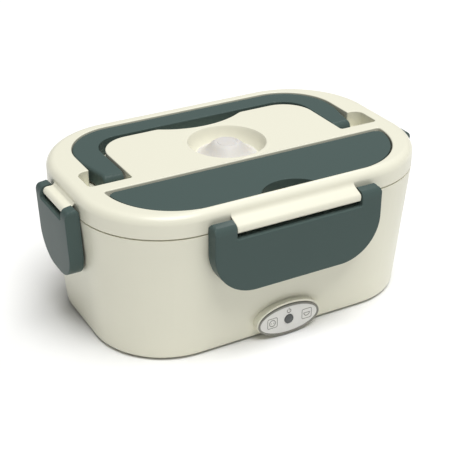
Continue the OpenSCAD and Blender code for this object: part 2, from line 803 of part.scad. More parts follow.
module panel_label() {
  color("#e6e5df") difference() {
    panel_disc(panel_a - panel_lip - bezel_w - 0.05, panel_b - panel_lip - bezel_w - 0.05,
      -panel_y, -panel_y + label_seat);
    translate([0, -panel_y - cut, panel_z]) rotate([-90, 0, 0]) cylinder(r = led_r + snug, h = 3 * cut);
  }
}

module power_led() {
  color("#3c4244") translate([0, -panel_y, panel_z]) rotate([-90, 0, 0]) difference() {
    union() {
      cylinder(r = led_r, h = panel_y - led_board_y);
      intersection() {
        translate([0, 0, 6 - 0.8]) sphere(6);
        translate([0, 0, -1]) cylinder(r = led_r, h = 2);
      }
    }
  }
}

module led_board() {
  color("#2f6b45") translate([-led_board_x - led_rail / 2 + 0.1, -led_board_y, led_board_z0])
    cube([2 * led_board_x + led_rail - 0.2, led_board_t, led_board_h]);
}

// ---------------------------------------------------------------- wires

// Points of a Catmull-Rom curve through the route, without its first and its last leg
function spline(p, n) = [for (i = [1:len(p) - 3], k = [0:n - 1]) let (
    a = p[i - 1], b = p[i], c = p[i + 1], d = p[i + 2], t = k / n)
    0.5 * (2 * b + (c - a) * t + (2 * a - 5 * b + 4 * c - d) * t * t + (3 * b - a - 3 * c + d) * t * t * t)];
function unit(v) = v / norm(v);

// Eight-sided tube along a route, its ends square to the first and the last leg
module wire(route, r) {
  n = len(route) - 1;
  p = concat([route[0]], spline(route, 4), [route[n - 1], route[n]]);
  m = len(p) - 1;
  rings = [for (i = [0:m]) let (
      t = i == 0 ? unit(route[1] - route[0]) : i == m ? unit(route[n] - route[n - 1])
        : unit(p[i + 1] - p[i - 1]),
      u = unit(cross(t, abs(t[2]) < 0.9 ? [0, 0, 1] : [1, 0, 0])),
      w = cross(t, u))
      for (k = [0:7]) p[i] + r * (cos(45 * k) * u + sin(45 * k) * w)];
  faces = concat(
    [[for (k = [0:7]) k]],
    [for (i = [0:m - 1], k = [0:7])
      [8 * i + k, 8 * (i + 1) + k, 8 * (i + 1) + (k + 1) % 8, 8 * i + (k + 1) % 8]],
    [[for (k = [7:-1:0]) 8 * m + k]]);
  polyhedron(rings, faces);
}

wire_r = 0.9;
thin_wire_r = 0.7;
end_leg = 2;       // straight length at a wire's end
element_mid_z = element_under_z + element_t / 2;

module ac_wires() {
  ty = ac_element_y - ac_element_d / 2 - tab_out;
  low = cover_top_z + 5;
  color("#b8402f") for (s = [-1, 1]) wire([
    [socket_x + s * ac_pin_x, ac_pin_y, socket_z],
    [socket_x + s * ac_pin_x, ac_pin_y - end_leg, socket_z],
    [socket_x + s * (ac_pin_x + 6), ac_pin_y - 15, low],
    [s * (ac_tab_x + 2), 8, low],
    [s * (ac_tab_x + 2), ty + 6, low],
    [s * (ac_tab_x + 1), ty - 2.5, low + 3],
    [s * ac_tab_x, ty - 2 * end_leg, element_mid_z - 1.5],
    [s * ac_tab_x, ty - end_leg, element_mid_z],
    [s * ac_tab_x, ty, element_mid_z]], wire_r);
}

module dc_wires() {
  ty = dc_element_y + dc_element_d / 2 + tab_out;
  face_y = dc_pin_y + pin_tail;
  case_x = dc_well_r - 0.5;
  color("#30353a") {
    wire([
      [-socket_x, dc_pin_y, socket_z],
      [-socket_x, dc_pin_y - end_leg, socket_z],
      [-socket_x / 3, ty + 5, socket_z + 1.5],
      [dc_tab_x / 2, ty + 4, socket_z + 2.5],
      [dc_tab_x, ty + end_leg + 1, element_mid_z - 0.5],
      [dc_tab_x, ty + end_leg, element_mid_z],
      [dc_tab_x, ty, element_mid_z]], wire_r);
    wire([
      [-socket_x - case_x, face_y, socket_z],
      [-socket_x - case_x, face_y - end_leg, socket_z],
      [-socket_x - case_x + 0.5, ty + 6, socket_z + 2],
      [-dc_tab_x, ty + end_leg + 1, element_mid_z - 0.5],
      [-dc_tab_x, ty + end_leg, element_mid_z],
      [-dc_tab_x, ty, element_mid_z]], wire_r);
  }
}

module led_wires() {
  yb = -led_board_y + led_board_t;
  tab_z = clamp_under_z - thermostat_h - thermostat_tab_h / 2;
  color("#d8d2b8") for (s = [-1, 1]) wire([
    [s * 6, yb, panel_z],
    [s * 6, yb + end_leg, panel_z],
    [s * 6 - 3, -2 * hot_d / 4, tab_z + 1],
    [s * 5 - 6, -hot_d / 5, tab_z],
    [thermostat_x + s * thermostat_tab_x, -7, tab_z],
    [thermostat_x + s * thermostat_tab_x, -thermostat_tab_d / 2 - end_leg, tab_z],
    [thermostat_x + s * thermostat_tab_x, -thermostat_tab_d / 2, tab_z]], thin_wire_r);
}

// ---------------------------------------------------------------- containers

module food_tray() {
  r = tray_r;
  ri = tray_r - tray_taper;
  z0 = tray_floor_z;
  z1 = tray_rim_top_z;
  color(STEEL) {
    rim_sweep() polygon(concat(
      [[0, z0]], arc(ri - 6, z0 + 6, 6, -90, 0),
      [[r, z1 - tray_t], [tray_rim_r, z1 - tray_t], [tray_rim_r, z1], [r - tray_t, z1]],
      arc(ri - 6, z0 + 6, 6 - tray_t, 0, -90), [[0, z0 + tray_t]]));
    rim_core(z0, z0 + tray_t);
  }
}

box_z = tray_floor_z + tray_t + fit_gap;
box_lid_z = box_z + box_h + fit_gap;
box_lid_t = 1.6;
box_lid_skirt = 4;

module side_dish_box() {
  color("#e9e8e0") translate([box_x, 0, box_z]) difference() {
    linear_extrude(box_h) rrect(box_l / 2, box_d / 2, box_r);
    translate([0, 0, box_t]) linear_extrude(box_h)
      rrect(box_l / 2 - box_t, box_d / 2 - box_t, box_r - box_t);
  }
}

module side_dish_lid() {
  g = fit_gap;
  color(GREEN) translate([box_x, 0, box_lid_z]) {
    linear_extrude(box_lid_t) rrect(box_l / 2 + g + box_t, box_d / 2 + g + box_t, box_r + g + box_t);
    translate([0, 0, -box_lid_skirt]) linear_extrude(box_lid_skirt + eps) difference() {
      rrect(box_l / 2 + g + box_t, box_d / 2 + g + box_t, box_r + g + box_t);
      rrect(box_l / 2 + g, box_d / 2 + g, box_r + g);
    }
  }
}

// ---------------------------------------------------------------- lid

// Outline of the cutlery cover, grown by g, without its finger notch
module cover_outline(g) {
  tx = cover_cx + (cover_c2x - cover_cx) * (cover_r + g) / cover_k;
  ty = cover_c1y + (cover_c2y - cover_c1y) * (cover_r + g) / cover_k;
  intersection() {
    union() {
      for (s = [-1, 1]) translate([s * cover_cx, cover_c1y]) circle(cover_r + g);
      translate([-cover_cx, cover_front_y - g]) square([2 * cover_cx, cover_r]);
    }
    translate([-rim_l, cover_front_y - rim_d]) square([2 * rim_l, rim_d + ty - cover_front_y]);
  }
  for (s = [-1, 1]) translate([s * cover_c2x, cover_c2y]) circle(cover_corner_r + g);
  polygon([[-cover_c2x, cover_rear_y + g], [cover_c2x, cover_rear_y + g], [tx, ty - eps], [-tx, ty - eps]]);
}

// Room for the cover's rear corners to turn in
module hinge_corners() {
  for (s = [-1, 1]) translate([s * (cover_end_x + cover_gap - 5), cover_pin_y])
    rrect(5, cover_bead_r + cover_gap, 2);
}

// The cover's outline with its finger notch
module notched_outline(g) {
  r = sagitta_r(notch_x, notch_d);
  difference() {
    cover_outline(g);
    translate([0, cover_front_y + notch_d - r]) circle(r - g);
  }
}

// Outline of the handle's recess, grown by g
module recess_outline(g) {
  hx = handle_x + recess_gap + g;
  hy = handle_y + recess_gap + g;
  r = handle_r + recess_gap + g;
  fr = sagitta_r(finger_x, finger_d);
  pr = 6;
  difference() {
    union() {
      translate([-hx, recess_front_y - g]) square([2 * hx, hy - r - recess_front_y + g]);
      translate([-hx + r, hy - r]) square([2 * (hx - r), r]);
      for (s = [-1, 1]) translate([s * (hx - r), hy - r]) circle(r);
      for (s = [-1, 1]) intersection() {
        translate([s * (pocket_x - pr), pocket_back_y - pr]) union() {
          circle(pr + g);
          translate([-pr - g, -rim_d]) square([2 * (pr + g), rim_d]);
          translate([s > 0 ? -3 * pr : 0, -rim_d]) square([3 * pr, rim_d + pr + g]);
        }
        translate([-rim_l, recess_front_y - g]) square([2 * rim_l, rim_d]);
      }
    }
    difference() {
      union() {
        translate([-island_x + g, recess_front_y - rim_d])
          square([2 * (island_x - g), rim_d + island_y - island_r - recess_front_y]);
        translate([-island_x + island_r, island_y - island_r - eps])
          square([2 * (island_x - island_r), island_r - g + eps]);
        for (s = [-1, 1]) translate([s * (island_x - island_r), island_y - island_r]) circle(island_r - g);
      }
      intersection() {
        translate([0, island_y - finger_d + fr]) circle(fr + g);
        translate([-rim_l, island_y - 2 * finger_d]) square([2 * rim_l, rim_d]);
      }
    }
  }
}

function lid_profile() = concat(
  [[0, top_z]],
  arc(rim_r - lid_edge_r, top_z - lid_edge_r, lid_edge_r, 90, 0),
  [[rim_r, lid_bottom_z], [skirt_out, lid_bottom_z], [skirt_out, skirt_bottom_z], [skirt_in, skirt_bottom_z],
   [skirt_in, plate_top_z + 3.4], [lid_inner_r, plate_top_z + 3.4 + (lid_inner_r - skirt_in)]],
  arc(rim_r - lid_edge_r, top_z - lid_edge_r, lid_edge_r - wall, 0, 90),
  [[0, top_z - wall]]);

// Bar that carries a long latch: its top slopes down from the lid's wall to a rounded nose. x inwards and
// y up from the pivot
nose_x = -1.6;
nose_y = -0.1;
nose_r = 1.6;
nose_slope = 22;
nose_low = -2.6;
nose_low_r = 1.3;
function bar_top(x) =
  (nose_r - sin(nose_slope) * (nose_x - x) + cos(nose_slope) * nose_y) / cos(nose_slope);

module long_bar() {
  inner = pivot_out + wall / 2;
  rotate([90, 0, 90]) translate([0, 0, -long_bar]) linear_extrude(2 * long_bar) polygon(concat(
    [[inner, bar_top(inner)]],
    arc(nose_x, nose_y, nose_r, 90 + nose_slope, 180, 4),
    arc(nose_x - nose_r + nose_low_r, nose_low + nose_low_r, nose_low_r, 180, 270, 3),
    [[inner, nose_low]]));
}

// Bar that carries a short latch: a roll on a web
module short_bar() {
  rotate([90, 0, 90]) translate([0, 0, -short_bar]) linear_extrude(2 * short_bar) {
    circle(roll_r);
    polygon([[0, -roll_r], [pivot_out + wall / 2, -roll_r], [pivot_out + wall / 2, roll_r + 1.5],
      [pivot_out, roll_r + 1.5], [pivot_out / 2, roll_r], [0, roll_r]]);
  }
}

// Bores for the pins, in the ends of a bar
module bar_bores(half) {
  for (s = [-1, 1]) translate([s * (half + cut), 0, 0]) rotate([0, -90 * s, 0])
    cylinder(r = latch_pin_r + snug, h = pin_in_bar + cut);
}

// Everything on the four sides: children(0) on the long sides, children(1) on the short ones
module at_pivots() {
  for (s = [0, 180]) on_side(s, rim_d / 2 + pivot_out) translate([0, 0, pivot_z]) children(0);
  for (s = [90, -90]) on_side(s, rim_l / 2 + pivot_out) translate([0, 0, pivot_z]) children(1);
}

module well_wall(g) {
  // bowl of the valve's well
  translate([0, valve_y, 0]) rotate_extrude() polygon(concat(
    [[0, well_floor_z - g], [valve_skirt_r + 0.6, well_floor_z - g]],
    [for (i = [1:6]) let (t = i / 6) [valve_skirt_r + 0.6 + g + (well_r - valve_skirt_r - 0.6) * pow(t, 0.6),
       well_floor_z - g + (well_d + g) * t]],
    [[well_r + g, top_z + cut], [0, top_z + cut]]));
}

module lid_shell() {
  color(CREAM) difference() {
    union() {
      difference() {
        union() {
          rim_sweep() polygon(lid_profile());
          rim_core(top_z - wall, top_z);
          translate([0, 0, handle_floor_z - tub_t]) linear_extrude(top_z - wall / 2 - handle_floor_z + tub_t)
            recess_outline(tub_t);
          translate([0, 0, cover_floor_z - tub_t]) linear_extrude(top_z - wall / 2 - cover_floor_z + tub_t)
            cover_outline(cover_gap + tub_t);
          intersection() {
            well_wall(tub_t);
            translate([0, 0, plate_top_z]) cylinder(r = rim_d / 2, h = top_z - wall / 2 - plate_top_z);
          }
          translate([0, valve_y, vent_bottom_z]) cylinder(r = vent_r, h = well_floor_z - vent_bottom_z);
        }
        translate([0, 0, handle_floor_z]) linear_extrude(top_z - handle_floor_z + cut) recess_outline(0);
        translate([0, 0, cover_floor_z]) linear_extrude(top_z - cover_floor_z + cut) cover_outline(cover_gap);
        translate([0, 0, cover_pin_z - cover_bead_r]) linear_extrude(lid_h) hinge_corners();
        well_wall(0);
      }
      at_pivots() {
        long_bar();
        short_bar();
      }
    }
    at_pivots() {
      bar_bores(long_bar);
      bar_bores(short_bar);
    }
    translate([0, valve_y, vent_bottom_z - cut]) cylinder(r = valve_stem_r + 0.1, h = well_d);
    for (s = [-1, 1]) {
      handle_axis(s) cylinder(r = handle_pin_r + snug, h = handle_pin_l);
      cover_axis(s) cylinder(r = cover_pin_r + snug, h = cover_pin_l);
    }
  }
}

// Pin axes: z runs outwards along X from the pin's inner end
handle_pin_x0 = island_x - tub_t;
handle_pin_l = pocket_x + tub_t - handle_pin_x0;
cover_pin_x0 = cover_end_x - cover_pin_in;
cover_pin_l = cover_pin_in + cover_gap + tub_t;

module handle_axis(s) {
  translate([s * handle_pin_x0, handle_pivot_y, handle_pivot_z]) rotate([0, 90 * s, 0]) children();
}

module cover_axis(s) {
  translate([s * cover_pin_x0, cover_pin_y, cover_pin_z]) rotate([0, 90 * s, 0]) children();
}

module lid_inner_plate() {
  color(CREAM) difference() {
    rim_slab(skirt_in - 0.2, plate_bottom_z, plate_top_z);
    difference() {
      rim_slab(seal_r + seal_w + 0.1, plate_bottom_z - cut, seal_bottom_z + seal_h);
      rim_slab(seal_r - 0.1, plate_bottom_z - 2 * cut, plate_top_z);
    }
    translate([0, valve_y, plate_bottom_z - cut]) cylinder(r = vent_r + 0.1, h = plate_t + 2 * cut);
  }
}

module lid_seal() {
  color(SILICONE) difference() {
    rim_slab(seal_r + seal_w, seal_bottom_z, seal_bottom_z + seal_h);
    rim_slab(seal_r, seal_bottom_z - cut, seal_bottom_z + seal_h + cut);
  }
}

module steam_valve() {
  z0 = well_floor_z + fit_gap;
  stem_z = barb_top_z;
  color(SILICONE) translate([0, valve_y, 0]) rotate_extrude() polygon([
    [0, top_z], [valve_cap_r, top_z], [valve_cap_r, top_z - 1.2], [valve_cap_r + 0.8, top_z - 1.6],
    [valve_cap_r + 3.2, top_z - 3], [valve_skirt_r - 4, z0 + 1.9], [valve_skirt_r, z0 + 0.9],
    [valve_skirt_r, z0],
    [valve_skirt_r - 5, z0], [valve_cap_r, top_z - 5.2], [valve_stem_r + 1.5, top_z - 5.2],
    [valve_stem_r + 1.5, z0], [valve_stem_r, z0], [valve_stem_r, stem_z], [valve_stem_r + 0.9, stem_z],
    [valve_stem_r - 0.6, stem_z - 2.6], [0, stem_z - 2.6]]);
}

// ---------------------------------------------------------------- handle

// Section of the handle's bar: x outwards from its inner face, y up from its underside
module handle_section() {
  polygon(concat([[0.8, 0], [handle_w - 1.5, 0], [handle_w, 1.5]],
    arc(handle_w - handle_edge_r, handle_t - handle_edge_r, handle_edge_r, 0, 90),
    arc(1, handle_t - 1, 1, 90, 180, 3), [[0, 0.8]]));
}

module handle() {
  ccx = handle_x - handle_r;
  ccy = handle_y - handle_r;
  inner_r = handle_r - handle_w;
  lug_r = handle_t / 2;
  color(GREEN) difference() {
    union() {
      translate([0, 0, handle_bottom_z]) {
        for (s = [-1, 1]) mirror([s < 0 ? 1 : 0, 0, 0]) {
          translate([ccx, ccy, 0]) rotate_extrude(angle = 90) translate([inner_r, 0]) handle_section();
          translate([ccx + inner_r, ccy, 0]) rotate([90, 0, 0]) linear_extrude(ccy - handle_pivot_y)
            handle_section();
        }
        translate([-ccx, ccy + inner_r, 0]) rotate([90, 0, 90]) linear_extrude(2 * ccx) handle_section();
      }
      for (s = [-1, 1]) translate([s * (handle_x - handle_w - hub_in), handle_pivot_y, handle_pivot_z])
        rotate([0, 90 * s, 0]) cylinder(r = lug_r, h = handle_w + hub_in + hub_out);
    }
    for (s = [-1, 1]) handle_axis(s) translate([0, 0, -cut])
      cylinder(r = handle_pin_r + pin_fit, h = handle_pin_l + 2 * cut);
  }
}

module handle_pins() {
  color(STEEL) for (s = [-1, 1]) handle_axis(s) cylinder(r = handle_pin_r, h = handle_pin_l);
}

// ---------------------------------------------------------------- cutlery compartment

module cutlery_cover() {
  color(GREEN) difference() {
    union() {
      difference() {
        translate([0, 0, cover_top - cover_t]) linear_extrude(cover_t) notched_outline(0);
        translate([-rim_l, cover_pin_y, cover_top - 2 * cover_t]) cube([2 * rim_l, rim_d, 3 * cover_t]);
      }
      intersection() {
        translate([0, 0, cover_pin_z - 2 * cover_bead_r]) linear_extrude(4 * cover_bead_r) notched_outline(0);
        translate([-rim_l, cover_pin_y, cover_pin_z]) rotate([0, 90, 0])
          cylinder(r = cover_bead_r, h = 2 * rim_l);
      }
      translate([0, 0, cover_top - cover_t - cover_skirt_h])
        linear_extrude(cover_skirt_h + eps) difference() {
        notched_outline(0);
        notched_outline(-cover_skirt_t);
        translate([-rim_l, cover_pin_y - 2 * cover_bead_r]) square([2 * rim_l, 4 * cover_bead_r]);
      }
    }
    for (s = [-1, 1]) cover_axis(s) translate([0, 0, -fit_gap])
      cylinder(r = cover_pin_r + pin_fit, h = cover_pin_l);
  }
}

module cover_pins() {
  color(STEEL) for (s = [-1, 1]) cover_axis(s) cylinder(r = cover_pin_r, h = cover_pin_l);
}

cutlery_z = cover_floor_z;
bowl_r = 11;
bowl_sphere = 26;
bowl_sag = 2.6;

// Flat stem of the cutlery, from x = 0 to its rounded end
module stem_outline(l) {
  polygon([[0, -2.2], [l * 0.45, -2.6], [l - 5, -4.6], [l - 5, 4.6], [l * 0.45, 2.6], [0, 2.2]]);
  translate([l - 5, 0]) circle(4.6);
}

// Sheet that dips like a bowl, under an outline drawn about the origin
module dished() {
  translate([0, 0, bowl_sphere]) intersection() {
    difference() {
      sphere(bowl_sphere, $fn = 96);
      sphere(bowl_sphere - cutlery_t, $fn = 96);
    }
    translate([0, 0, -bowl_sphere - cut]) linear_extrude(bowl_sag + cutlery_t + cut) children();
  }
}

module bowl_outline() {
  translate([-4, 0]) circle(bowl_r);
  translate([7, 0]) circle(7.4);
  polygon([[-4, -bowl_r], [7, -7.4], [7, 7.4], [-4, bowl_r]]);
}

module cutlery_stem(l) {
  translate([11, 0, bowl_sag]) linear_extrude(cutlery_t) stem_outline(l);
}

module spoon() {
  color(STEEL) translate([-cutlery_l / 2 + 15, cover_front_y + 13.5, cutlery_z]) {
    dished() bowl_outline();
    cutlery_stem(cutlery_l - 26);
  }
}

module fork() {
  color(STEEL) translate([cutlery_l / 2 - 15, cover_front_y + 30.5, cutlery_z]) rotate([0, 0, 180]) {
    dished() difference() {
      translate([-2, 0]) rrect(13, 7.6, 7);
      for (i = [-1, 0, 1]) translate([-18, i * 4 - 0.8]) square([15, 1.6]);
    }
    translate([-1, 0, 0]) cutlery_stem(cutlery_l - 27);
  }
}

// ---------------------------------------------------------------- latches

// Face outline of a latch, x across and y up from the pivot, its ears' top corners rounded by tr
module latch_outline(half, drop, r, tr) {
  translate([-half, -drop + r]) square([2 * half, drop - r + ear_r - tr]);
  translate([-half + tr, 0]) square([2 * (half - tr), ear_r]);
  for (s = [-1, 1]) translate([s * (half - tr), ear_r - tr]) circle(tr);
  translate([-half + r, -drop]) square([2 * (half - r), r + eps]);
  for (s = [-1, 1]) translate([s * (half - r), -drop + r]) circle(r, $fn = 96);
}

// Side view of a latch, x outwards from the pivot and y up, its face leaning in by lean at the bottom
module latch_side(drop, lean) {
  circle(ear_r);
  polygon([[-ear_r, 0], [ear_r, 0], [ear_r - lean, -drop], [-ear_r, -drop]]);
}

// Side view of what is cut away over a face that starts at [scoop_in, scoop_top], grown inwards by g
scoop_in = 1.8;
scoop_top = -3.4;
scoop_bottom = -10;
scoop_angle = 2 * atan((ear_r - 0.3 - scoop_in) / (scoop_top - scoop_bottom));
scoop_r = (scoop_top - scoop_bottom) / sin(scoop_angle);
function scoop(g) = [for (i = [0:6]) let (a = scoop_angle * i / 6)
  [scoop_in + scoop_r - (scoop_r + g) * cos(a), scoop_top - (scoop_r + g) * sin(a)]];

// half: half width, drop: from pivot to lower edge, window: top of the face below the pivot, 0 for a face
// that is scooped out below a roll
module latch(half, drop, r, tr, ear, window, lean, hook_half, pin_l) {
  w = latch_wall;
  pocket_top = window > 0 ? max(ear_r + 2, window + w) : 2 - scoop(w)[6][1];
  difference() {
    intersection() {
      rotate([90, 0, 0]) translate([0, 0, -ear_r - cut]) linear_extrude(latch_t + 2 * cut) difference() {
        latch_outline(half, drop, r, tr);
        if (window > 0) translate([-half + ear, -window]) square([2 * (half - ear), window + ear_r + cut]);
      }
      rotate([90, 0, -90]) translate([0, 0, -half - cut]) linear_extrude(2 * (half + cut))
        latch_side(drop, lean);
    }
    if (window == 0) rotate([90, 0, -90]) translate([0, 0, -half + ear]) linear_extrude(2 * (half - ear)) {
      polygon(concat([[-2 * ear_r, 2 * ear_r], [-2 * ear_r, scoop_top], [scoop_in, scoop_top]], scoop(0),
        [[2 * ear_r, scoop_bottom], [2 * ear_r, 2 * ear_r]]));
      polygon(concat([[-2 * ear_r, scoop_top + cut]], [[scoop_in - w, scoop_top + cut]], scoop(w),
        [[ear_r - w - lean, -pocket_top - cut], [-2 * ear_r, -pocket_top - cut]]));
    }
    intersection() {
      rotate([90, 0, 0]) translate([0, 0, -ear_r - cut]) linear_extrude(latch_t + cut) difference() {
        latch_outline(half - w, drop - w, r - w, w);
        translate([-half, -pocket_top]) square([2 * half, drop]);
      }
      rotate([90, 0, -90]) translate([0, 0, -half]) linear_extrude(2 * half)
        polygon([[-ear_r - cut, 2 * ear_r], [ear_r - w, 2 * ear_r], [ear_r - w, 0],
          [ear_r - w - lean, -drop], [-ear_r - cut, -drop]]);
    }
    for (s = [-1, 1]) translate([s * (half - ear - cut), 0, 0]) rotate([0, 90 * s, 0])
      cylinder(r = latch_pin_r + pin_fit, h = cut + pin_l + 0.4);
  }
  // hook below the catch
  hook_tip = ear_r + latch_gap - (wall_out(catch_z) - rim_r + catch_h) - fit_gap;
  translate([-hook_half, -ear_r + w / 2 + lean / 2, catch_z - pivot_z - hook_t - 0.6])
    cube([2 * hook_half, ear_r - w / 2 - lean / 2 + hook_tip, hook_t]);
}

module long_latch() {
  latch(long_x, pivot_z - long_bottom_z, long_r, long_ear_r, long_ear, pivot_z - seam_z + window_drop, 0,
    long_bar - 10, pin_in_ear_long);
}

module short_latch() {
  latch(short_x, pivot_z - short_bottom_z, short_r, short_ear_r, short_ear, 0, short_lean,
    short_bar - 6, pin_in_ear_short);
}

module latch_front() {
  color(GREEN) on_side(0, rim_d / 2 + pivot_out) translate([0, 0, pivot_z]) long_latch();
}

module latch_rear() {
  color(GREEN) on_side(180, rim_d / 2 + pivot_out) translate([0, 0, pivot_z]) long_latch();
}

module latch_left() {
  color(GREEN) on_side(-90, rim_l / 2 + pivot_out) translate([0, 0, pivot_z]) short_latch();
}

module latch_right() {
  color(GREEN) on_side(90, rim_l / 2 + pivot_out) translate([0, 0, pivot_z]) short_latch();
}

// Two stub pins, one at each end of a bar
module stub_pins(half, l) {
  for (s = [-1, 1]) translate([s * (half - pin_in_bar), 0, 0]) rotate([0, 90 * s, 0])
    cylinder(r = latch_pin_r, h = pin_in_bar + 0.5 + l);
}

module latch_pins() {
  color(STEEL) at_pivots() {
    stub_pins(long_bar, pin_in_ear_long);
    stub_pins(short_bar, pin_in_ear_short);
  }
}

// ---------------------------------------------------------------- assembly

outer_housing();
inner_liner();
bottom_cover();
feet();
base_screws();
heater_plate();
heater_seal();
ac_heater();
dc_heater();
heater_clamp();
clamp_screws();
thermostat();
thermal_fuse();
ac_inlet();
ac_inlet_pins();
dc_socket();
dc_socket_pin();
ac_wires();
dc_wires();
led_wires();
led_board();
power_led();
panel_bezel();
panel_label();
food_tray();
side_dish_box();
side_dish_lid();
lid_shell();
lid_inner_plate();
lid_seal();
steam_valve();
handle();
handle_pins();
cutlery_cover();
cover_pins();
spoon();
fork();
latch_front();
latch_rear();
latch_left();
latch_right();
latch_pins();
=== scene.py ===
import bmesh
import bpy
import json
import math
from mathutils import Matrix, Vector, geometry


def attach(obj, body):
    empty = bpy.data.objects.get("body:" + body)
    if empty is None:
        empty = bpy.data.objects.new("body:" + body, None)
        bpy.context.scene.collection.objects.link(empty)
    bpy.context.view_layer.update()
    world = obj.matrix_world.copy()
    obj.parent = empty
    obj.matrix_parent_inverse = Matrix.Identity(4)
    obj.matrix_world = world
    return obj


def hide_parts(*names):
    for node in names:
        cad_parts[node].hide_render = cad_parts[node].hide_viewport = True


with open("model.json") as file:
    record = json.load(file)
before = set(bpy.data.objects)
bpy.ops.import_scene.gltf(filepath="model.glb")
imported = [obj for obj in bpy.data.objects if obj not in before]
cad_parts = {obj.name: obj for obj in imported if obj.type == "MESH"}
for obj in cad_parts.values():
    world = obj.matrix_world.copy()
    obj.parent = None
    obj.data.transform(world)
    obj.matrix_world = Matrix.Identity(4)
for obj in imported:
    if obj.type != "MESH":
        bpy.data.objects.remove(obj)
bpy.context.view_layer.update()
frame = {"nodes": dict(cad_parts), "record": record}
MM = 0.001

# ---------------------------------------------------------------- sizes of the part, in millimetres

CX, CY, RIM = 58, 19, 54             # centres and radius of the rim's corners
TOP, LID_EDGE = 99, 5.4               # lid's top, and the rounding of its edge
SKIRT_IN, SKIRT_OUT, SKIRT_LOW = 49.5, 51, 81.05
LID_LOW, PLATE_TOP = 85.5, 83.95
PIVOT_OUT, PIVOT_Z = 4.9, 88.6       # latch pins: beyond the rim, and height
LONG_BAR, SHORT_BAR, ROLL_R = 41.7, 15.5, 2.7
NOSE_X, NOSE_Y, NOSE_R, NOSE_SLOPE, NOSE_LOW, NOSE_LOW_R = -1.4, -0.35, 2.2, 22, -3.5, 1.9
VALLEY_R = 4                         # hollow between the long bars and the lid's edge
LATCH_R, LATCH_WALL = 4.5, 2.4       # half the latches' thickness, and their sheet
LONG_X, LONG_LOW, LONG_R, LONG_EAR, LONG_EAR_R, WINDOW = 56.2, -42.2, 27, 14, 4.4, -6.4
HOOK_HALF, HOOK_LOW, HOOK_TOP, HOOK_TIP = 31.2, -25.4, -23.2, 4.9

HANDLE_X, HANDLE_Y, HANDLE_R, HANDLE_W = 92, 63.4, 33.5, 14.2
HANDLE_LOW, HANDLE_TOP = 88.2, 98.3
HANDLE_PIN_Y, ARM_OUT_X, ARM_IN_X, ARM_BEND_Y = 1.4, 88, 75, 22
INNER_X, INNER_Y, INNER_R = 57, 31.2, 18   # inner corners of the handle
PIN_R, PIN_IN, PIN_OUT, PIN_Z = 1.5, 70.5, 86, 93   # handle pins: radius, both ends and height
RECESS_GAP, RECESS_FRONT, HANDLE_FLOOR = 0.6, -12.4, 87.6
POCKET_X, POCKET_Y = 101.2, 8.5
ISLAND_X, ISLAND_Y, ISLAND_R = 73.7, 43.8, 20.5
FINGER_R, FINGER_Y, FINGER_RUN = 55.8, 90.8, 7   # notch in the island: radius, centre and run-out

COVER_FRONT, COVER_REAR, COVER_TOP, COVER_FLOOR = -66.1, -23, 98.4, 86
COVER_GAP, COVER_GAP_REAR = 1, 1.3
COVER_X, COVER_R, COVER_END_R = 50.7, 44.5, 5
COVER_T, COVER_SKIRT, COVER_SKIRT_T = 2.4, 3.2, 1.6
NOTCH_R, NOTCH_Y, NOTCH_EDGE = 21.25, -77.75, 1.2

VALVE_Y, WELL_R, WELL_FLOOR, WELL_FOOT_R = 6.5, 24.7, 89.4, 19.8
VENT_R, VENT_HOLE, VENT_LOW = 5.4, 3, 82.55
SHORT_X, SHORT_LOW, SHORT_R, SHORT_EAR, SHORT_EAR_R = 23.5, -45.2, 19, 7.5, 3.5
SHORT_WINDOW, SHORT_LEAN, SHORT_HOOK = -4.6, 1.9, 10.5
PANEL_Y, PANEL_Z, LAMP_R = -71.8, 11.1, 3.1
RING_A, RING_B, RING_W = 21.6, 10.3, 1.4   # panel ring: half axes and width
# Symbols on the label: parts of circles (x, y, from, to, radius) and strokes (x, y, half width, half height).
SYMBOLS = ((0, 5.7, 130, 410, 1.3), (12.9, 0.5, 180, 360, 2), (-11.6, 0, 0, 360, 2.1))
STROKES = ((0, 6.7, 0.25, 0.9), (12.9, 0.6, 2.4, 0.22), (-12.5, 0, 0.3, 0.3), (-10.7, 0, 0.3, 0.3))


# ---------------------------------------------------------------- shape kit, in millimetres

def arcs_rr(cx, cy, r):
    """Arcs of a rounded rectangle from its corner centres."""
    return [(cx, -cy, r, -90, 0), (cx, cy, r, 0, 90), (-cx, cy, r, 90, 180), (-cx, -cy, r, 180, 270)]


def rounded(points):
    """Arcs of a counter-clockwise polygon [(x, y, r), ...] whose corners are rounded by r."""
    out = []
    n = len(points)
    for i, (x, y, r) in enumerate(points):
        a, b = points[i - 1], points[(i + 1) % n]
        d0 = Vector((x - a[0], y - a[1])).normalized()
        d1 = Vector((b[0] - x, b[1] - y)).normalized()
        turn = math.atan2(d0.x * d1.y - d0.y * d1.x, d0.dot(d1))
        if abs(turn) < 1e-4:
            continue
        s = 1 if turn > 0 else -1
        n0 = Vector((d0.y, -d0.x)) * s
        mid = (n0 + Vector((d1.y, -d1.x)) * s).normalized()
        centre = Vector((x, y)) - mid * (r / math.cos(turn / 2))
        a0 = math.degrees(math.atan2(n0.y, n0.x))
        out.append((centre.x, centre.y, r, a0, a0 + math.degrees(turn), s))
    return out


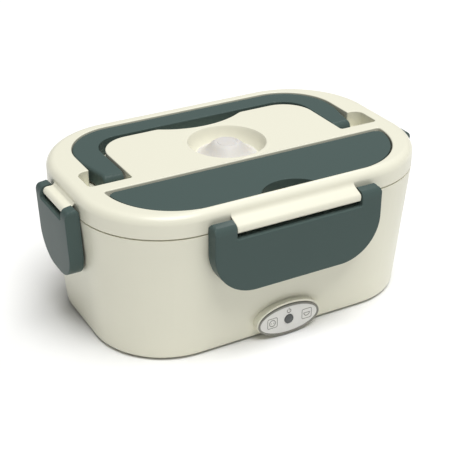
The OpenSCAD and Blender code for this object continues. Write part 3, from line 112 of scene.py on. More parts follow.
class Outline:
    """Closed outline made of arcs, with an outward normal at each point."""

    def __init__(self, arcs, chord=1.6, least=3):
        self.p, self.n = [], []
        for x, y, r, a0, a1, *s in arcs:
            k = max(least, math.ceil(abs(math.radians(a1 - a0)) * r / chord),
                    math.ceil(abs(a1 - a0) / 12) if r > 0.5 else 2)
            for i in range(k + 1):
                a = math.radians(a0 + (a1 - a0) * i / k)
                d = Vector((math.cos(a), math.sin(a)))
                q = Vector((x, y)) + d * r
                if self.p and (q - self.p[-1]).length < 1e-4:
                    continue
                self.p.append(q)
                self.n.append(d * (s[0] if s else 1))
        if (self.p[0] - self.p[-1]).length < 1e-4:
            self.p.pop()
            self.n.pop()

    def ring(self, off, z):
        """Ring of 3-D points; off and z are numbers or functions of a point's number."""
        f = off if callable(off) else (lambda i: off)
        g = z if callable(z) else (lambda i: z)
        pairs = enumerate(zip(self.p, self.n))
        return [Vector((p.x + n.x * f(i), p.y + n.y * f(i), g(i))) for i, (p, n) in pairs]


def fillet(o0, z0, o1, z1, k=6, start=0):
    """Points of a quarter ellipse from (o0, z0) to (o1, z1). It leaves the first point along z when start
    is 0, along the offset when it is 1."""
    out = []
    for i in range(k + 1):
        t = math.radians(90 * i / k)
        a, b = (1 - math.cos(t), math.sin(t)) if start == 0 else (math.sin(t), 1 - math.cos(t))
        out.append((o0 + (o1 - o0) * a, z0 + (z1 - z0) * b))
    return out


class Shell:
    """Mesh under construction."""

    def __init__(self):
        self.v, self.f = [], []

    def ring(self, pts):
        i = len(self.v)
        self.v += [Vector(p) for p in pts]
        return list(range(i, len(self.v)))

    def band(self, a, b, closed=True):
        n = len(a)
        for i in range(n if closed else n - 1):
            j = (i + 1) % n
            self.f.append((a[i], a[j], b[j], b[i]))

    def loft(self, rings, closed=True):
        """Skins rings of equal length and returns the first and the last one's indices."""
        ids = [self.ring(r) for r in rings]
        for a, b in zip(ids, ids[1:]):
            self.band(a, b, closed)
        return ids[0], ids[-1]

    def sweep(self, outline, profile):
        return self.loft([outline.ring(o, z) for o, z in profile])

    def cap(self, *loops, axes=(0, 1), extra=(), depth=None):
        """Fills the flat area inside the first loop and outside the others. extra: more points of the area,
        2-D, which depth turns into 3-D."""
        ids = [i for loop in loops for i in loop]
        pts = [Vector((self.v[i][axes[0]], self.v[i][axes[1]])) for i in ids]
        edges, at = [], 0
        for loop in loops:
            m = len(loop)
            edges += [(at + i, at + (i + 1) % m) for i in range(m)]
            at += m
        for e in extra:
            pts.append(Vector(e))
            ids.append(len(self.v))
            self.v.append(depth(e))
        polys = [[pts[i] for i in range(sum(map(len, loops[:k])), sum(map(len, loops[:k + 1])))]
                 for k in range(len(loops))]
        out = geometry.delaunay_2d_cdt(pts, edges, [], 0, 1e-7)
        verts, faces, orig = out[0], out[2], out[3]
        for face in faces:
            c = sum((verts[i] for i in face), Vector((0, 0))) / len(face)
            inside = False
            for poly in polys:
                for k, a in enumerate(poly):
                    b = poly[k - 1]
                    if (a.y > c.y) != (b.y > c.y) and c.x < (b.x - a.x) * (c.y - a.y) / (b.y - a.y) + a.x:
                        inside = not inside
            if inside and all(orig[i] for i in face):
                self.f.append(tuple(ids[orig[i][0]] for i in face))

    def put(self, other, matrix):
        """Adds another shell, moved by a matrix."""
        at = len(self.v)
        self.v += [matrix @ p for p in other.v]
        self.f += [tuple(at + i for i in face) for face in other.f]

    def revolve(self, profile, centre, n=96, axis="Z"):
        """Turns profile [(r, h), ...] round an axis through centre; radius 0 closes an end."""
        ids = []
        for r, h in profile:
            if r < 1e-6:
                ids.append(self.ring([self._at(centre, axis, 0, 0, h)]))
            else:
                ids.append(self.ring([self._at(centre, axis, r * math.cos(2 * math.pi * i / n),
                                               r * math.sin(2 * math.pi * i / n), h) for i in range(n)]))
        for a, b in zip(ids, ids[1:]):
            if len(a) == 1 and len(b) > 1:
                self.f += [(a[0], b[(i + 1) % n], b[i]) for i in range(n)]
            elif len(b) == 1 and len(a) > 1:
                self.f += [(a[i], a[(i + 1) % n], b[0]) for i in range(n)]
            elif len(a) > 1:
                self.band(a, b)
        return ids

    @staticmethod
    def _at(c, axis, a, b, h):
        return {"Z": Vector((c[0] + a, c[1] + b, c[2] + h)), "X": Vector((c[0] + h, c[1] + a, c[2] + b)),
                "Y": Vector((c[0] + a, c[1] + h, c[2] - b))}[axis]

    def make(self, name, sharp=38, move=None):
        """The finished object, in metres, with the outside out and hard edges kept sharp."""
        bm = bmesh.new()
        vs = [bm.verts.new((move @ p if move else p) * MM) for p in self.v]
        for face in self.f:
            ids = []
            for i in face:
                if i not in ids:
                    ids.append(i)
            if len(ids) > 2:
                try:
                    bm.faces.new([vs[i] for i in ids])
                except ValueError:
                    pass
        bmesh.ops.remove_doubles(bm, verts=bm.verts, dist=2e-7)
        bmesh.ops.dissolve_degenerate(bm, dist=1e-8, edges=bm.edges)
        loose = [v for v in bm.verts if not v.link_faces]
        bmesh.ops.delete(bm, geom=loose, context="VERTS")
        bmesh.ops.recalc_face_normals(bm, faces=bm.faces)
        limit = math.radians(sharp)
        for e in bm.edges:
            e.smooth = not (len(e.link_faces) == 2 and e.calc_face_angle(0) > limit)
        for face in bm.faces:
            face.smooth = True
        mesh = bpy.data.meshes.new(name)
        bm.to_mesh(mesh)
        bm.free()
        o = bpy.data.objects.new(name, mesh)
        bpy.context.scene.collection.objects.link(o)
        wn = o.modifiers.new("normals", "WEIGHTED_NORMAL")
        wn.keep_sharp = True
        wn.weight = 70
        return o


def piece(shell, name, slot, body, *nodes, sharp=38, move=None):
    o = shell.make(name, sharp, move) if isinstance(shell, Shell) else shell
    o.data.materials.append(MATS[slot])
    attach(o, body)
    if nodes:
        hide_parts(*nodes)
    return o


# ---------------------------------------------------------------- materials

def lin(rgb):
    """sRGB 0-255 to linear, with alpha."""
    out = []
    for c in rgb:
        c = c / 255
        out.append(c / 12.92 if c <= 0.04045 else ((c + 0.055) / 1.055) ** 2.4)
    return (*out, 1)


def node_material(name):
    m = bpy.data.materials.new(name)
    m.use_nodes = True
    nt = m.node_tree
    return m, nt.nodes, nt.links, nt.nodes["Principled BSDF"]


def add(nodes, kind, **values):
    n = nodes.new(kind)
    for k, v in values.items():
        if k in n.inputs:
            n.inputs[k].default_value = v
        else:
            setattr(n, k, v)
    return n


def plastic(name, rgb, rough=0.4, grain=900, bump=0.06, vary=0.03, spread=0.06, coat=0.0, coat_rough=0.1,
            specular=0.5, subsurface=0.0):
    """Moulded plastic: a fine spark-eroded grain, faint cloudy colour change and uneven gloss."""
    m, nodes, links, bsdf = node_material(name)
    co = add(nodes, "ShaderNodeTexCoord")
    cloud = add(nodes, "ShaderNodeTexNoise", Scale=24, Detail=3, Roughness=0.55)
    links.new(co.outputs["Object"], cloud.inputs["Vector"])
    mix = add(nodes, "ShaderNodeMix", data_type="RGBA")
    a = lin(rgb)
    b = tuple(min(1, c * (1 - vary)) for c in a[:3]) + (1,)
    mix.inputs[6].default_value = a
    mix.inputs[7].default_value = b
    links.new(cloud.outputs["Fac"], mix.inputs[0])
    links.new(mix.outputs[2], bsdf.inputs["Base Color"])
    fine = add(nodes, "ShaderNodeTexNoise", Scale=grain, Detail=2, Roughness=0.6)
    links.new(co.outputs["Object"], fine.inputs["Vector"])
    rr = add(nodes, "ShaderNodeMapRange")
    rr.inputs["To Min"].default_value = max(0.02, rough - spread)
    rr.inputs["To Max"].default_value = min(1, rough + spread)
    links.new(cloud.outputs["Fac"], rr.inputs["Value"])
    links.new(rr.outputs[0], bsdf.inputs["Roughness"])
    bp = add(nodes, "ShaderNodeBump", Strength=bump, Distance=0.0002)
    links.new(fine.outputs["Fac"], bp.inputs["Height"])
    links.new(bp.outputs[0], bsdf.inputs["Normal"])
    bsdf.inputs["Specular IOR Level"].default_value = specular
    if coat:
        bsdf.inputs["Coat Weight"].default_value = coat
        bsdf.inputs["Coat Roughness"].default_value = coat_rough
    if subsurface:
        bsdf.inputs["Subsurface Weight"].default_value = subsurface
        bsdf.inputs["Subsurface Radius"].default_value = (0.004, 0.003, 0.002)
    return m


def metal(name, rgb, rough=0.28, brush=(6, 900, 900), strength=0.12, aniso=0.5):
    """Brushed metal: fine lines along one direction and faint smudges in the gloss."""
    m, nodes, links, bsdf = node_material(name)
    bsdf.inputs["Metallic"].default_value = 1
    bsdf.inputs["Anisotropic"].default_value = aniso
    co = add(nodes, "ShaderNodeTexCoord")
    mp = add(nodes, "ShaderNodeMapping")
    mp.inputs["Scale"].default_value = brush
    links.new(co.outputs["Object"], mp.inputs["Vector"])
    lines = add(nodes, "ShaderNodeTexNoise", Scale=1, Detail=4, Roughness=0.7)
    links.new(mp.outputs[0], lines.inputs["Vector"])
    smudge = add(nodes, "ShaderNodeTexNoise", Scale=30, Detail=3, Roughness=0.6)
    links.new(co.outputs["Object"], smudge.inputs["Vector"])
    a = lin(rgb)
    mix = add(nodes, "ShaderNodeMix", data_type="RGBA")
    mix.inputs[6].default_value = a
    mix.inputs[7].default_value = tuple(c * 0.86 for c in a[:3]) + (1,)
    links.new(lines.outputs["Fac"], mix.inputs[0])
    links.new(mix.outputs[2], bsdf.inputs["Base Color"])
    rr = add(nodes, "ShaderNodeMapRange")
    rr.inputs["To Min"].default_value = rough - 0.08
    rr.inputs["To Max"].default_value = rough + 0.1
    links.new(smudge.outputs["Fac"], rr.inputs["Value"])
    links.new(rr.outputs[0], bsdf.inputs["Roughness"])
    bp = add(nodes, "ShaderNodeBump", Strength=strength, Distance=0.0001)
    links.new(lines.outputs["Fac"], bp.inputs["Height"])
    links.new(bp.outputs[0], bsdf.inputs["Normal"])
    return m


MATS = {
    "cream_plastic": plastic("cream", (234, 232, 213), rough=0.36, coat=0.12, coat_rough=0.2),
    "green_plastic": plastic("green", (77, 92, 89), rough=0.3, bump=0.05, coat=0.1, coat_rough=0.08,
                             specular=0.03),
    "inner_plastic": plastic("inner", (238, 237, 226), rough=0.42),
    "stainless": metal("stainless", (196, 198, 200), rough=0.26),
    "aluminium_plate": metal("aluminium", (202, 204, 206), rough=0.38, brush=(900, 8, 900)),
    "silicone": plastic("silicone", (214, 211, 206), rough=0.5, bump=0.1, subsurface=0.2),
    "foot_rubber": plastic("foot", (52, 54, 54), rough=0.72, bump=0.3, grain=500),
    "screw_steel": metal("screw", (160, 162, 166), rough=0.3, brush=(500, 500, 500),
                         strength=0.05, aniso=0.1),
    "element": plastic("element", (190, 160, 112), rough=0.55, vary=0.2, grain=300),
    "black_plastic": plastic("black", (38, 40, 42), rough=0.4),
    "contact_metal": metal("contact", (205, 200, 186), rough=0.22, brush=(80, 900, 80), strength=0.05),
    "ceramic": plastic("ceramic", (222, 216, 198), rough=0.35),
    "mains_wire": plastic("mains_wire", (176, 58, 44), rough=0.5),
    "dark_wire": plastic("dark_wire", (46, 50, 56), rough=0.5),
    "pale_wire": plastic("pale_wire", (214, 206, 180), rough=0.5),
    "circuit_board": plastic("board", (36, 96, 62), rough=0.3, vary=0.25, grain=200),
    "led_lens": plastic("led", (62, 66, 66), rough=0.16, bump=0.0, coat=0.6, coat_rough=0.05),
    "ring_grey": plastic("ring", (132, 131, 122), rough=0.32),
    "label_white": plastic("label", (232, 231, 226), rough=0.5),
}


# ---------------------------------------------------------------- lid

def mirrored(arcs):
    """Arcs of the right half, in order, followed by their mirror images on the left."""
    return arcs + [(-x, y, r, 180 - a1, 180 - a0, *s) for x, y, r, a0, a1, *s in reversed(arcs)]


def handle_recess():
    """The handle's recess: two arms with pockets, a bar behind them and a finger notch in the island."""
    x, y, r = HANDLE_X + RECESS_GAP, HANDLE_Y + RECESS_GAP, HANDLE_R + 1.4
    front = RECESS_FRONT
    side, back, corner = 2.5, 6, 0.9
    tip = 1.5
    rise = FINGER_Y - ISLAND_Y + FINGER_RUN
    run = math.sqrt((FINGER_R + FINGER_RUN) ** 2 - rise ** 2)
    a = math.degrees(math.atan2(rise, run))
    island = [(-ISLAND_X - tip, front + tip, tip, 270, 360, 1),
              (-ISLAND_X + ISLAND_R, ISLAND_Y - ISLAND_R, ISLAND_R, 180, 90, -1),
              (-run, ISLAND_Y - FINGER_RUN, FINGER_RUN, 90, a, -1),
              (0, FINGER_Y, FINGER_R, -180 + a, -a, 1),
              (run, ISLAND_Y - FINGER_RUN, FINGER_RUN, 180 - a, 90, -1),
              (ISLAND_X - ISLAND_R, ISLAND_Y - ISLAND_R, ISLAND_R, 90, 0, -1),
              (ISLAND_X + tip, front + tip, tip, 180, 270, 1)]
    right = [(POCKET_X - side, front + side, side, -90, 0, 1),
             (POCKET_X - back, POCKET_Y - back, back, 0, 90, 1),
             (x + corner, POCKET_Y + corner, corner, 270, 180, -1),
             (x - r, y - r, r, 0, 90, 1)]
    return Outline(mirrored(right) + island)


def cover_recess():
    """The cutlery compartment's edge; its rear corners leave room for the cover to turn."""
    r = COVER_R + COVER_GAP
    corner = 2
    rear = COVER_REAR + COVER_GAP_REAR
    cy = COVER_FRONT + COVER_R
    dy = rear - corner - cy
    a = math.degrees(math.asin(dy / (r - corner)))
    x = COVER_X + math.sqrt((r - corner) ** 2 - dy ** 2)
    return Outline(mirrored([(COVER_X, cy, r, -90, a, 1), (x, rear - corner, corner, a, 90, 1)]))


def extruded(outline, half, edge):
    """Bar along Z from -half to half with rounded ends."""
    s = Shell()
    start = [(-o, -z) for o, z in fillet(edge, half, 0, half - edge, 4, start=1)]
    a, b = s.sweep(outline, start + [(o, -z) for o, z in reversed(start)])
    s.cap(a)
    s.cap(b)
    return s


def on_side(angle, out, z):
    """From a bar's own axes (x inwards, y up, z along) to a side of the part."""
    local = Matrix(((0, 0, 1, 0), (1, 0, 0, -out), (0, 1, 0, z), (0, 0, 0, 1)))
    return Matrix.Rotation(math.radians(angle), 4, "Z") @ local


def long_bar():
    """Bar of a long latch: its top runs from the lid's edge through a hollow down to a rounded nose."""
    slope = math.radians(NOSE_SLOPE)
    n = Vector((-math.sin(slope), math.cos(slope)))
    edge = Vector((PIVOT_OUT + LID_EDGE, TOP - LID_EDGE - PIVOT_Z))
    lift = NOSE_R + VALLEY_R + (Vector((NOSE_X, NOSE_Y)) - edge).dot(n)
    run = math.sqrt((LID_EDGE + VALLEY_R) ** 2 - lift ** 2)
    valley = edge + n * lift - Vector((n.y, -n.x)) * run
    a = math.degrees(math.atan2(edge.y - valley.y, edge.x - valley.x))
    inner, high, tip = PIVOT_OUT + 2.4, edge.y + 2.2, 0.3
    arcs = [(NOSE_X, NOSE_Y, NOSE_R, 90 + NOSE_SLOPE, 180, 1),
            (NOSE_X - NOSE_R + NOSE_LOW_R, NOSE_LOW + NOSE_LOW_R, NOSE_LOW_R, 180, 270, 1),
            (inner - tip, NOSE_LOW + tip, tip, -90, 0, 1), (inner - tip, high - tip, tip, 0, 90, 1),
            (valley.x, valley.y, VALLEY_R, a, NOSE_SLOPE - 90, -1)]
    return extruded(Outline(arcs, chord=0.5), LONG_BAR, 0.5)


def short_bar():
    """Bar of a short latch: a roll on a web that runs into the lid's side."""
    web, tip, bend = PIVOT_OUT + 1.2, 0.3, 2.6
    arcs = [(0, 0, ROLL_R, 90, 270, 1), (web - tip, tip - ROLL_R, tip, -90, 0, 1),
            (web - tip, ROLL_R + bend, tip, 0, 90, 1), (PIVOT_OUT / 2, ROLL_R + bend, bend, 300, 270, -1)]
    return extruded(Outline(arcs, chord=0.5), SHORT_BAR, 0.5)


def lid():
    """The lid's outer wall and top, with its two recesses, the valve's well, the vent and four latch bars."""
    s = Shell()
    inner, outer, tip = SKIRT_IN - RIM, SKIRT_OUT - RIM, 0.3
    wall = [(inner, PLATE_TOP + 0.35), (inner, SKIRT_LOW + tip), (inner + tip, SKIRT_LOW),
            (outer - tip, SKIRT_LOW), (outer, SKIRT_LOW + tip), (outer, LID_LOW)]
    wall += fillet(-tip, LID_LOW, 0, LID_LOW + tip, 3, start=1)
    wall += fillet(0, TOP - LID_EDGE, -LID_EDGE, TOP, 14)
    first, rim = s.sweep(Outline(arcs_rr(CX, CY, RIM), chord=1.2), wall)
    s.cap(first)
    holes = []
    floor_r = 1.2
    for outline, floor, edge in ((handle_recess(), HANDLE_FLOOR, 0.6), (cover_recess(), COVER_FLOOR, 0.8)):
        profile = fillet(edge, TOP, 0, TOP - edge, 5, start=1)
        profile += fillet(0, floor + floor_r, -floor_r, floor, 5)
        top, low = s.sweep(outline, profile)
        s.cap(low)
        holes.append(top)
    foot, deep = WELL_FOOT_R - WELL_R, TOP - WELL_FLOOR
    groove = [(2.8, TOP), (2.62, TOP - 0.14), (2.44, TOP)]
    bowl = [(0.75, TOP)]
    for t in (0.985, 0.95, 0.88, 0.78, 0.66, 0.54, 0.42, 0.31, 0.2, 0.11, 0.05, 0.015):
        bowl.append((foot - foot * t ** 0.6 + 0.35 * t ** 12, WELL_FLOOR + deep * t))
    top, low = s.sweep(Outline([(0, VALVE_Y, WELL_R, 0, 360)], chord=1.2),
                       groove + bowl + [(foot - 0.3, WELL_FLOOR)])
    holes.append(top)
    s.cap(low)
    s.cap(rim, *holes)
    vent_top = PLATE_TOP + 1
    vent = [(VENT_HOLE, vent_top), (VENT_R, vent_top), (VENT_R, VENT_LOW + tip), (VENT_R - tip, VENT_LOW),
            (VENT_HOLE + tip, VENT_LOW), (VENT_HOLE, VENT_LOW + tip), (VENT_HOLE, vent_top)]
    s.revolve(vent, (0, VALVE_Y, 0), 48)
    long_out, short_out = CY + RIM + PIVOT_OUT, CX + RIM + PIVOT_OUT
    for angle in (0, 180):
        s.put(long_bar(), on_side(angle, long_out, PIVOT_Z))
    for angle in (90, -90):
        s.put(short_bar(), on_side(angle, short_out, PIVOT_Z))
    return s


# ---------------------------------------------------------------- cutlery cover

def cover():
    s = Shell()
    cy = COVER_FRONT + COVER_R
    k = COVER_R - COVER_END_R
    ey = COVER_REAR - COVER_END_R
    ex = COVER_X + math.sqrt(k * k - (cy - ey) ** 2)
    a = math.degrees(math.atan2(ey - cy, ex - COVER_X))
    ny = COVER_FRONT + NOTCH_EDGE
    nx = math.sqrt((NOTCH_R + NOTCH_EDGE) ** 2 - (ny - NOTCH_Y) ** 2)
    b = math.degrees(math.atan2(ny - NOTCH_Y, nx))
    arcs = mirrored([(nx, ny, NOTCH_EDGE, 180 + b, 270, 1), (COVER_X, cy, COVER_R, -90, a, 1),
                     (ex, ey, COVER_END_R, a, 90, 1)]) + [(0, NOTCH_Y, NOTCH_R, 180 - b, b, -1)]
    line = Outline(arcs, chord=1.2)
    rear = [max(0, min(1, (n.y - 0.2) / 0.7)) for n in line.n]
    rear = [w * w * (3 - 2 * w) for w in rear]
    edge = lambda i: 0.35 + 1.25 * rear[i]
    low = COVER_TOP - COVER_T - COVER_SKIRT
    wall = lambda i: COVER_SKIRT_T + 3.6 * rear[i]
    under = COVER_TOP - COVER_T
    rings = []
    for j in range(7):
        t = math.radians(15 * j)
        rings.append(line.ring(lambda i: -edge(i) * (1 - math.sin(t)),
                               lambda i: COVER_TOP - edge(i) * (1 - math.cos(t))))
    rings.append(line.ring(0, lambda i: low + 0.3 + 1.2 * rear[i]))
    rings.append(line.ring(lambda i: -0.3 - 1.2 * rear[i], low))
    rings.append(line.ring(lambda i: 0.3 - wall(i), low))
    rings.append(line.ring(lambda i: -wall(i), low + 0.3))
    rings.append(line.ring(lambda i: -wall(i), under - 0.5))
    rings.append(line.ring(lambda i: -wall(i) - 0.5, under))
    top, inner = s.loft(rings)
    s.cap(top)
    s.cap(inner)
    return s


# ---------------------------------------------------------------- handle

def handle():
    """A bar swept round the U; its arms get slimmer towards the ends, which are turned about the pins."""
    s = Shell()
    h = (HANDLE_TOP - HANDLE_LOW) / 2
    zc = (HANDLE_TOP + HANDLE_LOW) / 2
    inner_top, outer_low, inner_low = 0.7, 1.5, 0.8
    arm_outer, bar_outer = 2.4, 1.3

    def half(w, ro, ri):
        """Upper half of the section: from the axis up the inner face, rounded by ri, across and down the
        outer face, rounded by ro."""
        quarter, fine = [math.radians(15 * j) for j in range(7)], [math.radians(10 * j) for j in range(10)]
        inner = [(ri * (1 - math.cos(t)), h - ri + ri * math.sin(t)) for t in quarter]
        outer = [(w - ro + ro * math.sin(t), h - ro + ro * math.cos(t)) for t in fine]
        return [(0, 0)] + inner + outer + [(w, 0)]

    def section(x, y, dx, dy, w, ro):
        top = [(u, v) for u, v in half(w, ro, inner_top)]
        low = [(u, -v) for u, v in half(w, outer_low, inner_low)]
        return [Vector((x + dx * u, y + dy * u, zc + v)) for u, v in top + low[-2:0:-1]]

    ccx, ccy = HANDLE_X - HANDLE_R, HANDLE_Y - HANDLE_R

    def ease(a, b, y):
        t = max(0, min(1, (y - a) / (b - a)))
        return t * t * (3 - 2 * t)

    def outer_r(y):
        return arm_outer + (bar_outer - arm_outer) * ease(HANDLE_PIN_Y, HANDLE_Y - HANDLE_W, y)

    def outer_x(y):
        return ARM_OUT_X + (HANDLE_X - ARM_OUT_X) * min(1, (y - HANDLE_PIN_Y) / (ARM_BEND_Y - HANDLE_PIN_Y))

    path = []
    arm = 12
    for i in range(arm):
        y = HANDLE_PIN_Y + (ccy - HANDLE_PIN_Y) * i / arm
        path.append((ARM_IN_X, y, 1, 0, outer_x(y) - ARM_IN_X, outer_r(y)))
    for i in range(25):
        a = math.radians(90 * i / 24)
        x, y = INNER_X + INNER_R * math.cos(a), INNER_Y + INNER_R * math.sin(a)
        d = Vector((ccx + HANDLE_R * math.cos(a) - x, ccy + HANDLE_R * math.sin(a) - y))
        path.append((x, y, d.x / d.length, d.y / d.length, d.length, outer_r(y)))
    rings = [section(*p) for p in path] + [section(-x, y, -dx, *rest) for x, y, dx, *rest in reversed(path)]
    s.loft(rings)
    turns = 16
    for side in (1, -1):
        strips = []
        for j in range(turns + 1):
            t = j / turns
            e = t * t * (3 - 2 * t)
            ro, ri = arm_outer + (outer_low - arm_outer) * e, inner_top + (inner_low - inner_top) * e
            a = math.pi * t
            strips.append([Vector((side * (ARM_IN_X + u), HANDLE_PIN_Y - v * math.sin(a),
                                   zc + v * math.cos(a))) for u, v in half(ARM_OUT_X - ARM_IN_X, ro, ri)])
        s.loft(strips, closed=False)
    return s


def handle_pins():
    """The two pins, from the island into the arms, with chamfered ends."""
    s = Shell()
    tip = 0.3
    for side in (1, -1):
        profile = [(0, PIN_IN), (PIN_R - tip, PIN_IN), (PIN_R, PIN_IN + tip), (PIN_R, PIN_OUT - tip),
                   (PIN_R - tip, PIN_OUT), (0, PIN_OUT)]
        s.revolve([(r, side * x) for r, x in profile], (0, HANDLE_PIN_Y, PIN_Z), 48, "X")
    return s


# ---------------------------------------------------------------- steam valve

def valve():
    """The silicone valve: a button with a groove round it, a bell-shaped skirt and a barbed stem."""
    s = Shell()
    z0 = WELL_FLOOR + 0.3
    cap, skirt, stem = 6.4, 19.2, 2.9
    top, barb, inside = TOP - 0.35, 79.25, TOP - 5.2
    shoulder, high = cap + 0.7, top - 0.06
    disc = [(0, top), (cap - 0.55, top), (cap - 0.35, top - 0.1), (cap - 0.15, top - 0.42),
            (cap + 0.1, top - 0.42), (cap + 0.3, top - 0.14), (shoulder, high)]
    bell = []
    for j in range(1, 19):
        t = j / 18
        drop = 0.5 - 0.5 * math.cos(math.pi * t ** 0.86)
        bell.append((shoulder + (skirt - shoulder) * t, high - (high - z0 - 0.75) * drop))
    under = [(skirt, z0 + 0.35), (skirt - 0.35, z0), (skirt - 5, z0), (cap, inside), (stem + 1.5, inside),
             (stem + 1.5, z0), (stem, z0), (stem, barb), (stem + 0.9, barb), (stem - 0.6, barb - 2.6),
             (0, barb - 2.6)]
    s.revolve(disc + bell + under, (0, VALVE_Y, 0), 96)
    return s


# ---------------------------------------------------------------- latches

def ear_top(x):
    """Height of an ear over the pivot at depth x (inwards): round at the back, nearly flat, steep in
    front."""
    points = [(-4.5, -2), (-4.4, -1), (-4.1, 0.2), (-3.6, 1.2), (-2.9, 2.1), (-2.3, 2.55), (-1.9, 2.75),
              (2.2, 3.5)]
    if x >= points[-1][0]:
        return math.sqrt(max(0, LATCH_R ** 2 - x * x)) - 0.42
    for (a, b), (c, d) in zip(points, points[1:]):
        if x <= c:
            return b + (d - b) * (x - a) / (c - a)
    return points[-1][1]


def latch(half, low_y, r, e, k, window, lean, hook):
    """Two ears round the bar and a plate with big lower corners, hollow at the back, with a hook bar inside.
    Built as x inwards, y up and z along; the plate leans in by lean at its lower end."""
    s = Shell()
    top, tip = LATCH_R, 0.6
    turned = Matrix(((0, 0, 1, 0), (0, 1, 0, 0), (1, 0, 0, 0), (0, 0, 0, 1)))
    ladder = [top - tip - (top - tip - window - 1) * j / 12 for j in range(13)]
    right = [(half - r, low_y + r, r, -90, 0, 1), (half - k, top - k, k, 0, 90, 1),
             (half - e + tip, top - tip, tip, 90, 180, 1)]
    right += [(half - e, v, 1e-5, 180, 180.5, 1) for v in ladder[1:-1]]
    right += [(half - e - 1.2, window + 1.2, 1.2, 360, 270, -1)]
    line = Outline(mirrored(right), chord=1.2)
    edge = 0.7
    depths = [LATCH_R - 0.4 * (1 - math.cos(math.radians(t))) for t in (0, 45, 90)]
    depths += [4, 3.6, 3.2, 2.7, 2.2, 0.5, -1.9, -2.3, -2.6, -2.9, -3.25, -3.6]
    front = [-LATCH_R + edge * (1 - math.sin(math.radians(t))) for t in (0, 15, 30, 45, 60, 75, 90)]
    rings = []
    for x in depths + front:
        back = max(0, x - (LATCH_R - 0.4))
        off = math.sqrt(max(0, 0.16 - back * back)) - 0.4
        if x < edge - LATCH_R:
            off = math.sqrt(max(0, edge ** 2 - (edge - LATCH_R - x) ** 2)) - edge
        limit = ear_top(x)
        rings.append([Vector((p.x, min(p.y, limit), x)) for p in line.ring(off, x)])
    back, face = s.loft(rings)
    s.cap(face)
    w = LATCH_WALL
    low = window - w
    pocket = Outline(mirrored([(half - r, low_y + r, r - w, -90, 0, 1),
                               (half - w - 2, low - 2, 2, 0, 90, 1)]), chord=1.6)
    mouth, floor = s.sweep(pocket, [(0.3, LATCH_R), (0, LATCH_R - 0.3), (0, w - LATCH_R + 1)]
                           + fillet(0, w - LATCH_R + 1, -1, w - LATCH_R, 3))
    s.cap(back, mouth)
    s.cap(floor)
    slope = lean / (window - low_y)
    for p in s.v:
        p.z += slope * max(0, window - p.y)
    whole = Shell()
    whole.put(s, turned)
    shift = slope * (window - HOOK_LOW)
    root = w - LATCH_R - 0.5 + shift
    rib = rounded([(root, HOOK_LOW, 0.2), (HOOK_TIP, HOOK_LOW, 0.5), (HOOK_TIP, HOOK_TOP, 0.3),
                   (root, HOOK_TOP, 0.2)])
    whole.put(extruded(Outline(rib, chord=0.5), hook, 0.3), Matrix.Identity(4))
    return whole


def long_latch():
    return latch(LONG_X, LONG_LOW, LONG_R, LONG_EAR, LONG_EAR_R, WINDOW, 0, HOOK_HALF)


def short_latch():
    """The long latch's plate in small: no window, closer ears, and a face that leans in a little."""
    return latch(SHORT_X, SHORT_LOW, SHORT_R, SHORT_EAR, SHORT_EAR_R, SHORT_WINDOW, SHORT_LEAN, SHORT_HOOK)


# ---------------------------------------------------------------- switch panel

def oval(a, b, n=96):
    """Outline of an ellipse with half axes a and b."""
    line = Outline([(0, 0, 1, 0, 360)])
    turns = [2 * math.pi * i / n for i in range(n)]
    line.p = [Vector((a * math.cos(t), b * math.sin(t))) for t in turns]
    line.n = [Vector((b * math.cos(t), a * math.sin(t))).normalized() for t in turns]
    return line


def on_panel(shell):
    """From the panel's own axes (x right, y up, z out of its face) to the front of the base."""
    s = Shell()
    s.put(shell, Matrix(((1, 0, 0, 0), (0, 0, -1, PANEL_Y), (0, 1, 0, PANEL_Z), (0, 0, 0, 1))))
    return s


def frame_bar(s, outer, inner, low, high):
    """Raised frame between two outlines of the same number of points."""
    tip = 0.04
    a = s.ring(outer.ring(0, low))
    b = s.ring(outer.ring(0, high - tip))
    c = s.ring(outer.ring(-tip, high))
    d = s.ring(inner.ring(tip, high))
    e = s.ring(inner.ring(0, high - tip))
    f = s.ring(inner.ring(0, low))
    for m, n in ((a, b), (b, c), (c, d), (d, e), (e, f), (f, a)):
        s.band(m, n)


def panel_ring():
    """The grey ring round the panel and the grey symbols on its label: power, a socket and a bowl."""
    s = Shell()
    outer, inner = oval(RING_A, RING_B), oval(RING_A - RING_W, RING_B - RING_W)
    r = 0.35
    rings = [outer.ring(0, -0.7)] + [outer.ring(o, z) for o, z in fillet(0, 0.5 - r, -r, 0.5, 5)]
    rings += [inner.ring(o, z) for o, z in reversed(fillet(0, 0.5 - r, r, 0.5, 5))]
    rings += [inner.ring(0, -0.7)]
    first, last = s.loft(rings)
    s.band(last, first)
    half, line, corner, low, high = 3.6, 0.45, 1.2, -0.3, 0.12
    for x in (-11.6, 12.9):
        k = half - corner
        out = Outline([(x + cx, cy, corner, a, a + 90, 1) for cx, cy, a in
                       ((k, -k, -90), (k, k, 0), (-k, k, 90), (-k, -k, 180))], least=5)
        inn = Outline([(x + cx, cy, corner - line, a, a + 90, 1) for cx, cy, a in
                       ((k, -k, -90), (k, k, 0), (-k, k, 90), (-k, -k, 180))], least=5)
        frame_bar(s, out, inn, low, high)
    for x, y, a0, a1, r in SYMBOLS:
        n = max(2, math.ceil(abs(a1 - a0) / 12))
        turns = [math.radians(a0 + (a1 - a0) * i / n) for i in range(n + 1)]
        w = 0.25
        far = [(x + (r + w) * math.cos(t), y + (r + w) * math.sin(t)) for t in turns]
        near = [(x + (r - w) * math.cos(t), y + (r - w) * math.sin(t)) for t in reversed(turns)]
        stroke(s, far + near, low, high)
    for x, y, w, h in STROKES:
        stroke(s, [(x - w, y - h), (x + w, y - h), (x + w, y + h), (x - w, y + h)], low, high)
    return on_panel(s)


